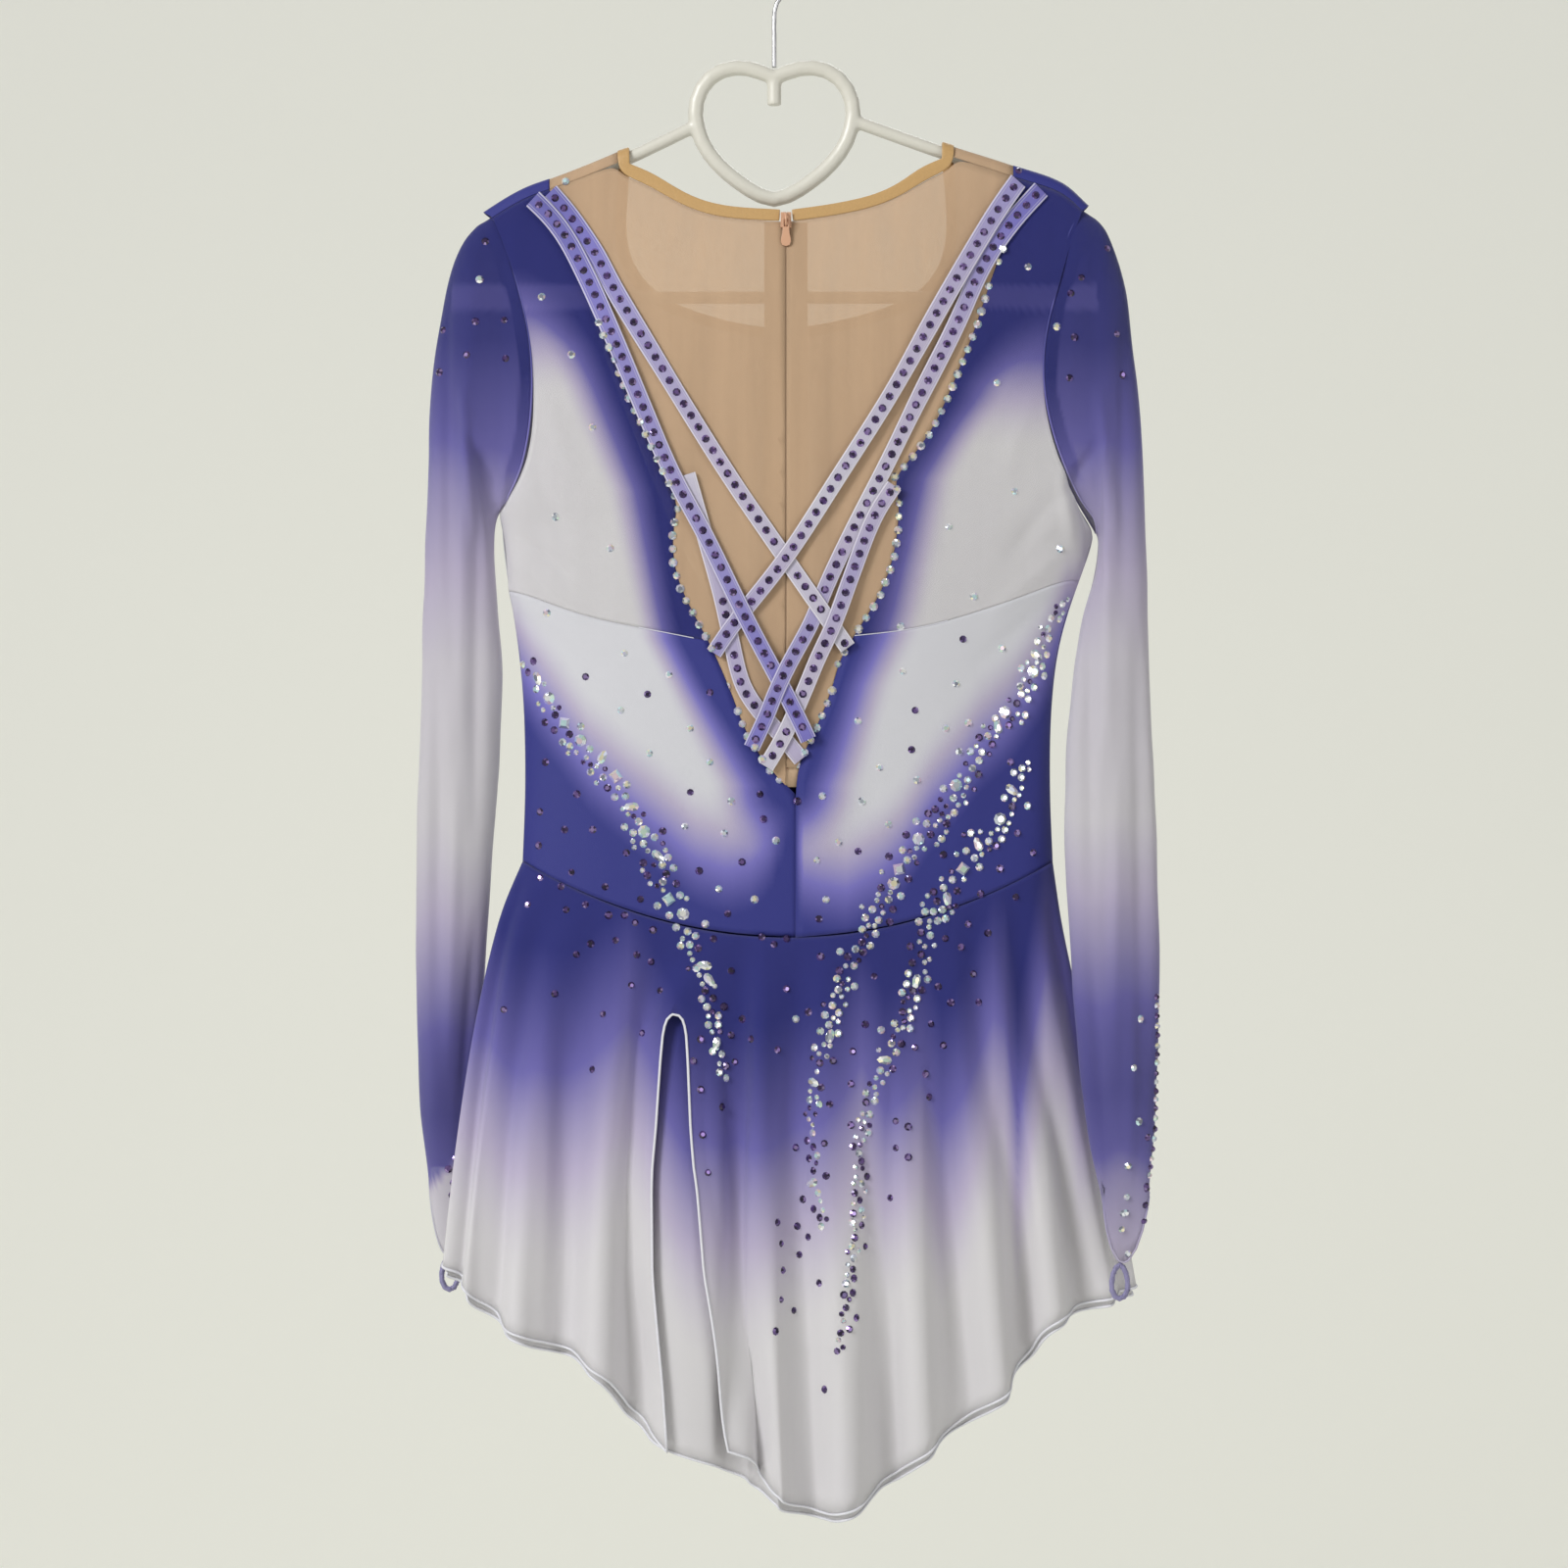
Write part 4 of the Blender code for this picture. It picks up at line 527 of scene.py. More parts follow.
class DressStage(bpy.types.PropertyGroup):
    """Camera, lights and floor."""
    distance: length_choice("Distance", "From the camera to the hook", 2400)
    width: length_choice("Width", "Width of the picture at the dress", 880)
    backdrop: colour_choice("Backdrop", "Colour of the room", 0.87, 0.87, 0.845)
    brightness: bpy.props.FloatProperty(
        name="Brightness", description="Strength of the room's light", default=0.5)
    glow: bpy.props.FloatProperty(
        name="Glow", description="Light of the wall and floor themselves", default=0.35)


class Signal:
    """A shader socket that takes part in sums: each operation on it adds its Math node."""

    def __init__(self, finish, socket):
        self.finish = finish
        self.socket = socket

    def math(self, operation, first, second=None):
        values = {0: first} if second is None else {0: first, 1: second}
        return self.finish.add("ShaderNodeMath", {"operation": operation}, values)

    def __add__(self, other):
        return self.math("ADD", self, other)

    __radd__ = __add__

    def __sub__(self, other):
        return self.math("SUBTRACT", self, other)

    def __rsub__(self, other):
        return self.math("SUBTRACT", other, self)

    def __mul__(self, other):
        return self.math("MULTIPLY", self, other)

    __rmul__ = __mul__

    def sine(self):
        return self.math("SINE", self)

    def above(self, other):
        return self.math("GREATER_THAN", self, other)


class Finish:
    """A material while it is made."""

    def __init__(self, name, roughness, **constants):
        self.material = bpy.data.materials.new(name)
        self.material.use_nodes = True
        self.tree = self.material.node_tree
        self.shader = self.tree.nodes["Principled BSDF"]
        self.shader.inputs["Roughness"].default_value = roughness
        for socket, value in constants.items():
            self.shader.inputs[socket.replace("_", " ")].default_value = value

    def add(self, kind, settings=None, values=None, output=0):
        """A node with its settings, and the values or links of its sockets; gives one output."""
        node = self.tree.nodes.new(kind)
        for name, value in (settings or {}).items():
            if name == "stops":
                self.set_stops(node.color_ramp, value)
            else:
                setattr(node, name, value)
        for name, value in (values or {}).items():
            socket = node.inputs[name]
            if isinstance(value, Signal):
                self.tree.links.new(value.socket, socket)
            else:
                socket.default_value = value
        return Signal(self, node.outputs[output])

    @staticmethod
    def set_stops(ramp, stops):
        """Places and colours of a ramp."""
        while len(ramp.elements) < len(stops):
            ramp.elements.new(0.5)
        for element, (position, colour) in zip(ramp.elements, stops):
            element.position = position
            element.color = (*colour, 1)

    def feed(self, socket, signal):
        self.tree.links.new(signal.socket, self.shader.inputs[socket])

    def place(self):
        """Across, out and up, in metres."""
        vector = {"Vector": self.add("ShaderNodeTexCoord", output="Object")}
        return [self.add("ShaderNodeSeparateXYZ", values=vector, output=axis) for axis in "XYZ"]

    def named(self, attribute, output="Fac"):
        """A value or colour that the mesh keeps at its points or corners."""
        return self.add("ShaderNodeAttribute", {"attribute_name": attribute}, output=output)

    def speckle(self, scale, detail=2.0, stretch=(1, 1, 1)):
        """Soft noise from 0 to 1; stretch draws it out along an axis."""
        coords = self.add("ShaderNodeTexCoord", output="Object")
        coords = self.add("ShaderNodeMapping", values={"Vector": coords, "Scale": stretch})
        return self.add("ShaderNodeTexNoise", values={"Vector": coords, "Scale": scale, "Detail": detail})

    def emboss(self, height, distance):
        """Fine relief: height from 0 to 1 stands for the distance, in millimetres."""
        values = {"Height": height, "Distance": distance * MM, "Strength": 1.0}
        self.feed("Normal", self.add("ShaderNodeBump", values=values, output="Normal"))

    def mix(self, share, first, second):
        """Colour between two colours; a Mix node takes colours at its sockets 6 and 7."""
        return self.add("ShaderNodeMix", {"data_type": "RGBA"}, {0: share, 6: first, 7: second}, output=2)


def rgba(colour):
    return (*colour, 1)


def tinted(colour, share):
    """A colour made deeper or paler, as a socket takes it."""
    return rgba([min(1, tint * share) for tint in colour])


def knit(finish, cell):
    """Fine knit: rows of loops across and down, from 0 to 1."""
    across, _, up = finish.place()
    turns = 2 * math.pi / cell
    return ((across * turns).sine() * (up * turns).sine()) * 0.5 + 0.5


def dyed(finish, cloth, tone, white):
    """Strength and colour of the dye, a little uneven as hand dyeing is; in places the dye values also hold
    painted shade.
    """
    strength = finish.named("dye") + (finish.speckle(14, 3, (1, 1, 0.35)) - 0.5) * 0.06
    lilac = [tint * white[1] / cloth.white[1] for tint in cloth.lilac]
    stops = [(0.0, white), (0.22, lilac), (0.6, cloth.periwinkle), (0.97, cloth.blue)]
    colour = finish.add("ShaderNodeValToRGB", {"stops": stops}, {"Fac": strength}, output="Color")
    return strength, finish.mix(tone, colour, finish.mix(0.35, colour, rgba(cloth.blue)))


def opaque_cloth(cloth):
    """Stretch cloth of the front and the lower back."""
    finish = Finish("stretch_cloth", 0.52, Sheen_Weight=0.25, Sheen_Roughness=0.4, Specular_IOR_Level=0.35)
    loops = knit(finish, cloth.weave)
    finish.feed("Base Color", dyed(finish, cloth, loops * 0.3, cloth.matt)[1])
    finish.emboss(loops * 0.6 + finish.speckle(220, 2) * 0.6, 0.12)
    return finish.material


def sheer_cloth(cloth, name, cover, cell, crinkle):
    """Sheer mesh: the gaps of its knit, each a cell in millimetres, let some light through."""
    finish = Finish(name, 0.6, Sheen_Weight=0.2, Sheen_Roughness=0.5, Specular_IOR_Level=0.25)
    loops = knit(finish, cell * MM)
    strength, shade = dyed(finish, cloth, loops * 0.2, cloth.white)
    finish.feed("Base Color", shade)
    long_shade = finish.speckle(60, 3, (1, 1, 0.08))
    finish.feed("Alpha", loops * 0.1 + (cover - 0.09) + strength * 0.06 + (long_shade - 0.5) * 0.1)
    finish.emboss(loops * 0.5 + long_shade * crinkle, 0.4)
    return finish.material


def nude_mesh(cloth, cover):
    """Sheer mesh with faint streaks of deeper and paler tan."""
    finish = Finish("nude_mesh", 0.62, Specular_IOR_Level=0.2)
    loops = knit(finish, cloth.weave)
    streaks = finish.speckle(90, 3, (1, 1, 0.06))
    finish.feed("Base Color", finish.mix(streaks, tinted(cloth.nude, 0.93), tinted(cloth.nude, 1.08)))
    finish.feed("Alpha", loops * 0.12 + (cover - 0.06) + (streaks - 0.5) * 0.12)
    finish.emboss(loops * 0.5 + streaks * 0.5, 0.25)
    return finish.material


def satin(name, colour, roughness=0.42, grain=900.0):
    """Closely woven band, cord or thread: binding, tape, hems and loops."""
    finish = Finish(name, roughness, Sheen_Weight=0.3, Sheen_Roughness=0.4)
    fuzz = finish.speckle(grain, 2)
    finish.feed("Base Color", finish.mix(fuzz, tinted(colour, 0.82), rgba(colour)))
    finish.emboss(fuzz, 0.2)
    return finish.material


def strap_cloth(cloth):
    """Folded strap: dye along it, and a groove along each line of stitches."""
    finish = Finish("strap_cloth", 0.5, Sheen_Weight=0.25, Sheen_Roughness=0.4)
    loops = knit(finish, cloth.weave)
    side = finish.named("side")
    stitches = side.above(0.6) - side.above(0.7)
    shade = dyed(finish, cloth, loops * 0.3, cloth.matt)[1]
    pale = finish.mix(0.45, shade, rgba(cloth.white))
    finish.feed("Base Color", finish.mix(side.above(0.84) + stitches * 0.45, shade, pale))
    finish.emboss(loops * 0.4 + finish.speckle(260, 2) - stitches * 2.0, 0.15)
    return finish.material


def plastic(name, colour, roughness, relief):
    """Moulded plastic with the faint unevenness of its making."""
    finish = Finish(name, roughness, Coat_Weight=0.25, Coat_Roughness=0.25)
    fleck = finish.speckle(420, 3)
    broad = finish.speckle(40, 2)
    finish.feed("Base Color", finish.mix(broad, tinted(colour, 0.94), rgba(colour)))
    finish.feed("Roughness", fleck * 0.2 + (roughness - 0.1))
    finish.emboss(fleck * 0.7 + broad * 0.6, relief)
    return finish.material


def metal(name, colour, roughness):
    """Drawn metal, its shine a little uneven."""
    finish = Finish(name, roughness, Metallic=1.0)
    fine = finish.speckle(700, 2)
    finish.feed("Base Color", finish.mix(fine, tinted(colour, 0.85), rgba(colour)))
    finish.feed("Roughness", fine * 0.15 + (roughness - 0.05))
    finish.emboss(fine, 0.03)
    return finish.material


def cut_glass():
    """Foiled glass: each facet has its own tint, partly painted glint and dark reflection, and mirrors the
    room.
    """
    finish = Finish("cut_glass", 0.12, Coat_Weight=0.8, Coat_Roughness=0.03)
    glint = finish.named("glint", "Color")
    finish.feed("Base Color", glint)
    finish.feed("Metallic", finish.speckle(300, 1) * 0.2 + 0.55)
    return finish.material


def only(obj):
    """Selects one object alone and makes it active."""
    bpy.ops.object.select_all(action="DESELECT")
    obj.select_set(True)
    bpy.context.view_layer.objects.active = obj


def apply_modifier(obj, kind, **settings):
    """Adds one modifier with its settings and applies it."""
    only(obj)
    bpy.ops.object.modifier_add(type=kind)
    modifier = obj.modifiers[-1]
    for name, value in settings.items():
        setattr(modifier, name, value)
    bpy.ops.object.modifier_apply(modifier=modifier.name)


def settle(obj, material, nodes=(), body="dress"):
    """Dresses a finished piece in its material and ties it to the frame."""
    obj.data.materials.clear()
    obj.data.materials.append(material)
    only(obj)
    bpy.ops.object.shade_smooth()
    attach(obj, body)
    if nodes:
        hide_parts(*nodes)


def seen_from_behind(tree, across, up):
    """What a ray at the dress's back meets first: its point, normal, face and distance."""
    return tree.ray_cast(Vector((across, -RAY_START, up)), INWARD)


def linked(name, work):
    """An object in the scene from a finished bmesh."""
    mesh = bpy.data.meshes.new(name)
    work.to_mesh(mesh)
    work.free()
    obj = bpy.data.objects.new(name, mesh)
    bpy.context.scene.collection.objects.link(obj)
    return obj


def opened(mesh):
    """A bmesh of a mesh."""
    work = bmesh.new()
    work.from_mesh(mesh)
    return work


def welded(node):
    """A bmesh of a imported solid, its triangles joined."""
    work = opened(frame["nodes"][node].data)
    bmesh.ops.remove_doubles(work, verts=work.verts, dist=WELD)
    return work


def moulded(node, name, cell, rounds):
    """A solid made smooth all over, its joined tubes run into each other."""
    obj = linked(name, welded(node))
    apply_modifier(obj, "REMESH", mode="VOXEL", voxel_size=cell * MM)
    apply_modifier(obj, "SMOOTH", factor=0.5, iterations=rounds)
    return obj


def islands(work):
    """Groups of vertices that hang together."""
    left = set(work.verts)
    groups = []
    while left:
        group = {left.pop()}
        queue = list(group)
        while queue:
            vert = queue.pop()
            for edge in vert.link_edges:
                other = edge.other_vert(vert)
                if other in left:
                    left.discard(other)
                    group.add(other)
                    queue.append(other)
        groups.append(group)
    return groups


def face_size(group):
    """Area of the faces round a group of vertices."""
    faces = {face for vert in group for face in vert.link_faces}
    return sum(face.calc_area() for face in faces)


def face_reach(group):
    """How far a group of vertices lies from the middle plane of the dress."""
    return sum(abs(vert.co.y) for vert in group) / len(group)


def edge_kinds(work):
    """Sorts a grid's edges into along, across and slanting ones, carried from triangle to triangle."""
    kinds = {}
    for seed in work.faces:
        if seed.edges[0] in kinds:
            continue
        for number, edge in enumerate(seed.edges):
            kinds[edge] = number
        queue = [seed]
        while queue:
            face = queue.pop()
            for edge in face.edges:
                for other in edge.link_faces:
                    if all(side in kinds for side in other.edges):
                        continue
                    near, far = edge.verts
                    across = {near: far, far: near}
                    for side in face.edges:
                        if side is not edge:
                            shared = next(vert for vert in side.verts if vert in across)
                            match = next(
                                s for s in other.edges if s is not edge and across[shared] in s.verts)
                            kinds.setdefault(match, kinds[side])
                    queue.append(other)
    return kinds


def pair_triangles(work):
    """Joins the triangles of a face in pairs, as the grid that it was made from."""
    kinds = edge_kinds(work)
    groups = [[edge for edge, kind in kinds.items() if kind == wanted] for wanted in range(3)]
    inner = [group for group in groups if not any(edge.is_boundary for edge in group)]
    regular = all(len(vert.link_edges) == 6 for vert in work.verts if not vert.is_boundary)
    if regular and inner:
        slanting = max(inner, key=lambda group: sum(edge.calc_length() for edge in group) / len(group))
        bmesh.ops.dissolve_edges(work, edges=slanting, use_verts=False)
    else:
        bmesh.ops.join_triangles(
            work, faces=work.faces, angle_face_threshold=math.pi, angle_shape_threshold=math.pi)


def widen(work, amount):
    """Moves the free edges outward in the cloth's own plane, so that sewn pieces meet."""
    outward = {}
    for edge in work.edges:
        if edge.is_boundary:
            a, b = (vert.co for vert in edge.verts)
            along_edge = (b - a).normalized()
            out = (a + b) / 2 - edge.link_faces[0].calc_center_median()
            out = (out - along_edge * out.dot(along_edge)).normalized()
            for vert in edge.verts:
                outward.setdefault(vert, []).append(out)
    for vert, ways in outward.items():
        middle = sum(ways, Vector()).normalized()
        vert.co += middle * (amount * MM / max(0.5, middle.dot(ways[0])))


def lifted_face(node, measure=face_reach, lap=0.13):
    """The outer face of a cloth solid without its rim and its inner face."""
    wall = SOLID_WALLS.get(node, CLOTH_WALL) * MM
    work = welded(node)
    rim = [
        face for face in work.faces
        if any(abs(edge.calc_length() - wall) < WALL_MATCH * MM for edge in face.edges)]
    bmesh.ops.delete(work, geom=rim, context="FACES")
    groups = islands(work)
    outer = max(groups, key=measure)
    inner = [vert for group in groups if group is not outer for vert in group]
    bmesh.ops.delete(work, geom=inner, context="VERTS")
    pair_triangles(work)
    widen(work, lap)
    return work


def refine(obj, levels):
    """Subdivides a sheet and keeps its corners."""
    apply_modifier(obj, "SUBSURF", levels=levels, render_levels=levels, boundary_smooth="PRESERVE_CORNERS")


def drape(obj, lift):
    """Moves each point along its normal by what lift says for its place and normal, in millimetres."""
    mesh = obj.data
    normals = [vert.normal.copy() for vert in mesh.vertices]
    for vert, normal in zip(mesh.vertices, normals):
        vert.co += normal * (lift(vert.co, normal) * MM)
    mesh.update()


def dye(obj, strength):
    """Keeps how strong the dye is at each point, for the material; on the skirt and the bodice these values
    also hold painted shade.
    """
    layer = obj.data.attributes.new("dye", "FLOAT", "POINT")
    for vert, value in zip(obj.data.vertices, layer.data):
        value.value = min(1.0, max(0.0, strength(vert.co)))


def creased(point, normal):
    """Height of the creases at a place, tapered at their ends."""
    across, drop = spot_of(point)
    total = 0.0
    for start, top, end, foot, width, depth in CREASES[BACK if normal.y < 0 else FRONT]:
        run, fall = end - start, foot - top
        reach = run * run + fall * fall
        share = ((across - start) * run + (drop - top) * fall) / reach
        if not 0.0 < share < 1.0:
            continue
        away = abs((across - start) * fall - (drop - top) * run) / math.sqrt(reach)
        if away < CREASE_REACH * width:
            total += depth * math.exp(-(away / width) ** 2) * math.sin(math.pi * share) ** CREASE_TAPER
    return total * min(1.0, abs(normal.y) * CREASE_TURN)


def hanging(point, normal):
    """Creases, and the faint unevenness of cloth that hangs."""
    return creased(point, normal) + ripple(point, *CLOTH_WAVES) + ripple(point, *WEAVE_WAVES)


def rolled_edge(obj, name, wanted, radius):
    """A rolled hem along free edges of an open sheet; wanted picks them by their middle, in millimetres."""
    only(obj)
    bpy.ops.object.mode_set(mode="EDIT")
    bpy.ops.mesh.select_mode(type="EDGE")
    bpy.ops.mesh.select_all(action="DESELECT")
    work = bmesh.from_edit_mesh(obj.data)
    for edge in work.edges:
        if edge.is_boundary and wanted((edge.verts[0].co + edge.verts[1].co) / 2 / MM):
            edge.select_set(True)
    bmesh.update_edit_mesh(obj.data)
    bpy.ops.mesh.duplicate()
    bpy.ops.mesh.separate(type="SELECTED")
    bpy.ops.object.mode_set(mode="OBJECT")
    roll = next(other for other in bpy.context.selected_objects if other is not obj)
    roll.name = name
    only(roll)
    bpy.ops.object.convert(target="CURVE")
    roll = bpy.context.object
    roll.data.bevel_depth = radius
    roll.data.bevel_resolution = 1
    roll.data.use_fill_caps = True
    bpy.ops.object.convert(target="MESH")
    roll = bpy.context.object
    roll.name = name
    if "dye" in roll.data.attributes:
        roll.data.attributes.remove(roll.data.attributes["dye"])
    return roll


def shell(obj, thickness):
    """Gives an open sheet its thickness, on its inner side."""
    apply_modifier(obj, "SOLIDIFY", thickness=thickness, offset=-1.0)


def bevelled(obj, width):
    """Rounds the sharp edges over a width in millimetres."""
    apply_modifier(obj, "BEVEL", width=width * MM, segments=2, limit_method="ANGLE", angle_limit=1.0)


def bodice_dye_and_shade(point):
    """Dye of the bodice: blue shoulders, a band along the keyhole, and blue below a slanting line, which
    beside the back's closing is partly painted shade.
    """
    across, drop = spot_of(point)
    side = -1 if across < BACK_MIDDLE else 1
    away = side * (across - level(BAND_EDGE[side], drop))
    if drop > KEYHOLE_TIP:
        away = math.hypot(max(0.0, away), drop - KEYHOLE_TIP)
    full = level(BAND_FULL[side], drop)
    band = 1 - eased(away, full, level(BAND_END[side], drop) - full)
    start, gone = SHOULDER_FADE[side]
    shoulder = 1 - eased(drop, start, gone - start)
    line = level(LOW_BLUE_AND_SHADE, across)
    if point.y > 0 and across > FRONT_MIDDLE:
        other = level(LOW_BLUE_AND_SHADE, 2 * FRONT_MIDDLE - across)
        line = other + (line - other) * eased(across, *FRONT_EASE)
    low = smooth((drop - line) * LOW_BLUE_SLANT / LOW_BLUE_FADE + 0.5)
    return 1 - (1 - band) * (1 - shoulder) * (1 - low) - bar_behind(point)


def bar_behind(point):
    """How much paler the sheer back is where the hanger's bar lies behind it."""
    across, drop = spot_of(point)
    if point.y > 0 or abs(across) > BAR_REACH:
        return 0.0
    top, foot = (smooth((drop - edge) / BAR_SOFT + 0.5) for edge in BAR_DROPS)
    return BAR_PALER * top * (1 - foot)


def skirt_dye_and_shade(point, later):
    """Dye of the skirt, uneven from fold to fold, with painted shade where the blue reaches lower in the
    recess at 137 across; it fades later on the under layer.
    """
    across, drop = spot_of(point)
    uneven = ripple(point, *SKIRT_DYE_WAVES)
    return 1 - smooth((drop - level(SKIRT_BLUE_AND_SHADE, across) - later + uneven) / SKIRT_FADE + 0.5)


def sleeve_dye(point):
    """Dye of a sleeve; on the left it starts lower and ends on a slanting line above the cuff."""
    across, drop = spot_of(point)
    uneven = ripple(point, *SLEEVE_DYE_WAVES)
    if across > 0:
        return level(SLEEVE_DYE, drop + uneven) - bar_behind(point)
    strength = level(SLEEVE_DYE, drop + uneven - LEFT_LATER * eased(drop, *LEFT_EASE))
    start, line = CUFF_LINE
    cuff = smooth((drop - line - (start - across) * CUFF_LINE_SLOPE) / CUFF_LINE_SOFT)
    return strength * (1 - CUFF_PALER * cuff) - bar_behind(point)


class DRESS_OT_hanger(bpy.types.Operator):
    """Heart-shaped plastic hanger and its wire hook"""
    bl_idname = "dress.hanger"
    bl_label = "Hanger"

    def execute(self, context):
        white = plastic("moulded_plastic", hue(0.82, 0.81, 0.77), roughness=0.42, relief=0.2)
        steel = metal("hook_wire", hue(0.72, 0.72, 0.73), roughness=0.28)
        heart = moulded("hanger_frame", "hanger_moulding", cell=0.8, rounds=14)
        settle(heart, white, ["hanger_frame"])
        settle(moulded("hanger_hook", "hook", cell=0.32, rounds=8), steel, ["hanger_hook"])
        return {"FINISHED"}


class DRESS_OT_bodice(bpy.types.Operator):
    """Dyed upper and lower back, and the front"""
    bl_idname = "dress.bodice"
    bl_label = "Bodice"

    def execute(self, context):
        cloth = context.scene.dress_cloth
        sheer = sheer_cloth(cloth, "sheer_upper", cover=0.76, cell=0.55, crinkle=0.2)
        stretch = opaque_cloth(cloth)
        thread = satin("white_thread", hue(0.88, 0.88, 0.92))
        shell(self.panel("front_bodice", stretch), cloth.thickness)
        for side in SIDES:
            shell(self.panel("back_upper_" + side, sheer), cloth.thickness)
            lower = self.panel("back_lower_" + side, stretch)
            overlock = rolled_edge(lower, "overlock_" + side, self.on_seam, OVERLOCK_RADIUS * MM)
            settle(overlock, thread)
            shell(lower, cloth.thickness)
        return {"FINISHED"}

    @staticmethod
    def panel(node, material):
        """One dyed sheet, before it gets its thickness."""
        obj = linked(node + "_cloth", lifted_face(node))
        refine(obj, 3)
        drape(obj, hanging)
        dye(obj, bodice_dye_and_shade)
        settle(obj, material, [node])
        return obj

    @staticmethod
    def on_seam(middle):
        """True where the seam across the back has white thread."""
        sewn = any(start < middle.x < end for start, end in THREAD_PARTS)
        return sewn and middle.y < 0 and abs(-middle.z - level(MID_SEAM, middle.x)) < SEAM_MATCH


class DRESS_OT_mesh(bpy.types.Operator):
    """Nude mesh of the back and the front yoke"""
    bl_idname = "dress.mesh"
    bl_label = "Nude mesh"

    def execute(self, context):
        cloth = context.scene.dress_cloth
        material = nude_mesh(cloth, cover=0.66)
        for node in ("back_mesh_left", "back_mesh_right", "front_yoke"):
            obj = linked(node + "_cloth", lifted_face(node))
            refine(obj, 2)
            drape(obj, hanging)
            shell(obj, cloth.thickness)
            settle(obj, material, [node])
        return {"FINISHED"}


class DRESS_OT_binding(bpy.types.Operator):
    """Folded binding round the neck"""
    bl_idname = "dress.binding"
    bl_label = "Neck binding"

    def execute(self, context):
        cloth = context.scene.dress_cloth
        band = linked("binding_band", lifted_face("neck_binding", lap=0.4))
        shell(band, BINDING_THICKNESS * MM)
        bevelled(band, 0.7)
        apply_modifier(band, "SUBSURF", levels=2, render_levels=2)
        settle(band, satin("neck_satin", cloth.gold), ["neck_binding"])
        return {"FINISHED"}


class DRESS_OT_zip(bpy.types.Operator):
    """Tape, teeth, slider and pull of the zip"""
    bl_idname = "dress.zip"
    bl_label = "Zip"

    def execute(self, context):
        cloth = context.scene.dress_cloth
        deeper = [tint * 0.86 for tint in cloth.nude]
        tape_finish = satin("zip_tape_cloth", deeper, roughness=0.6, grain=500.0)
        tape = linked("zip_tape_cloth", lifted_face("zip_tape"))
        self.narrow_end(tape)
        refine(tape, 2)
        shell(tape, TAPE_THICKNESS * MM)
        settle(tape, tape_finish, ["zip_tape"])
        painted = plastic("painted_metal", hue(0.80, 0.62, 0.50), roughness=0.35, relief=0.05)
        settle(moulded("zip_slider", "slider", cell=0.16, rounds=4), painted, ["zip_slider"])
        pull = moulded("zip_pull", "pull_tab", cell=0.14, rounds=4)
        settle(pull, painted, ["zip_pull"], "zip_pull")
        nylon = plastic("zip_teeth", hue(0.74, 0.58, 0.47), roughness=0.4, relief=0.05)
        settle(self.teeth(tape), nylon)
        return {"FINISHED"}

    @staticmethod
    def narrow_end(tape):
        """Draws the tape's lower end in to its tip, and a little into the cloth."""
        low = min(vert.co.z for vert in tape.data.vertices)
        tip = TAPE_TIP * MM
        for vert in tape.data.vertices:
            if vert.co.z < low + MM:
                vert.co = (tip + (vert.co.x - tip) * 0.5, vert.co.y + TAPE_SINK * MM, -TAPE_END * MM)

    @staticmethod
    def teeth(tape):
        """Teeth of the chain, on the tape behind the two edges of the mesh."""
        tree = BVHTree.FromObject(tape, bpy.context.evaluated_depsgraph_get())
        work = bmesh.new()
        drop = TOOTH_FIRST
        while drop < TOOTH_LAST:
            spot = seen_from_behind(tree, ZIP_ACROSS * MM, -drop * MM)[0]
            drop += TOOTH_PITCH
            if spot is None:
                continue
            size = Matrix.Diagonal([side * MM for side in TOOTH_SIZE] + [1])
            seat = Matrix.Translation(spot - INWARD * (TOOTH_SIZE[1] / 2 * MM))
            bmesh.ops.create_cube(work, size=1, matrix=seat @ size)
        return linked("zip_chain", work)


class DRESS_OT_straps(bpy.types.Operator):
    """Six woven straps over the keyhole"""
    bl_idname = "dress.straps"
    bl_label = "Straps"

    def execute(self, context):
        cloth = context.scene.dress_cloth
        material = strap_cloth(cloth)
        for name in STRAPS:
            work = lifted_face("strap_" + name)
            MIDDLES[name] = walk(self.halve(work))
            obj = linked("strap_" + name + "_cloth", work)
            refine(obj, 2)
            dye(obj, lambda point, rows=STRAP_DYE[name]: level(rows, -point.z / MM))
            shell(obj, STRAP_THICKNESS * MM)
            bevelled(obj, 0.3)
            settle(obj, material, ["strap_" + name])
        return {"FINISHED"}

    def halve(self, work):
        """Gives a strap a middle line, and keeps how far each point is from it, from 0 to 1."""
        layer = work.verts.layers.float.new("side")
        for vert in work.verts:
            vert[layer] = 1.0
        crossing = [edge for edge in work.edges if not edge.is_boundary or self.is_end(edge)]
        made = bmesh.ops.subdivide_edges(work, edges=crossing, cuts=1)["geom_inner"]
        middle = [item for item in made if isinstance(item, bmesh.types.BMVert)]
        for vert in middle:
            vert[layer] = 0.0
        return middle

    @staticmethod
    def is_end(edge):
        """True for the short edge at either end of a strap."""
        return all(len(vert.link_edges) == 2 for vert in edge.verts)


def walk(verts):
    """Places of vertices in their order along the line that they make."""
    left = set(verts)
    ends = [vert for vert in verts if sum(e.other_vert(vert) in left for e in vert.link_edges) == 1]
    vert = max(ends, key=lambda end: end.co.z)
    path = []
    while vert:
        path.append(vert.co.copy())
        left.discard(vert)
        vert = next((e.other_vert(vert) for e in vert.link_edges if e.other_vert(vert) in left), None)
    return path


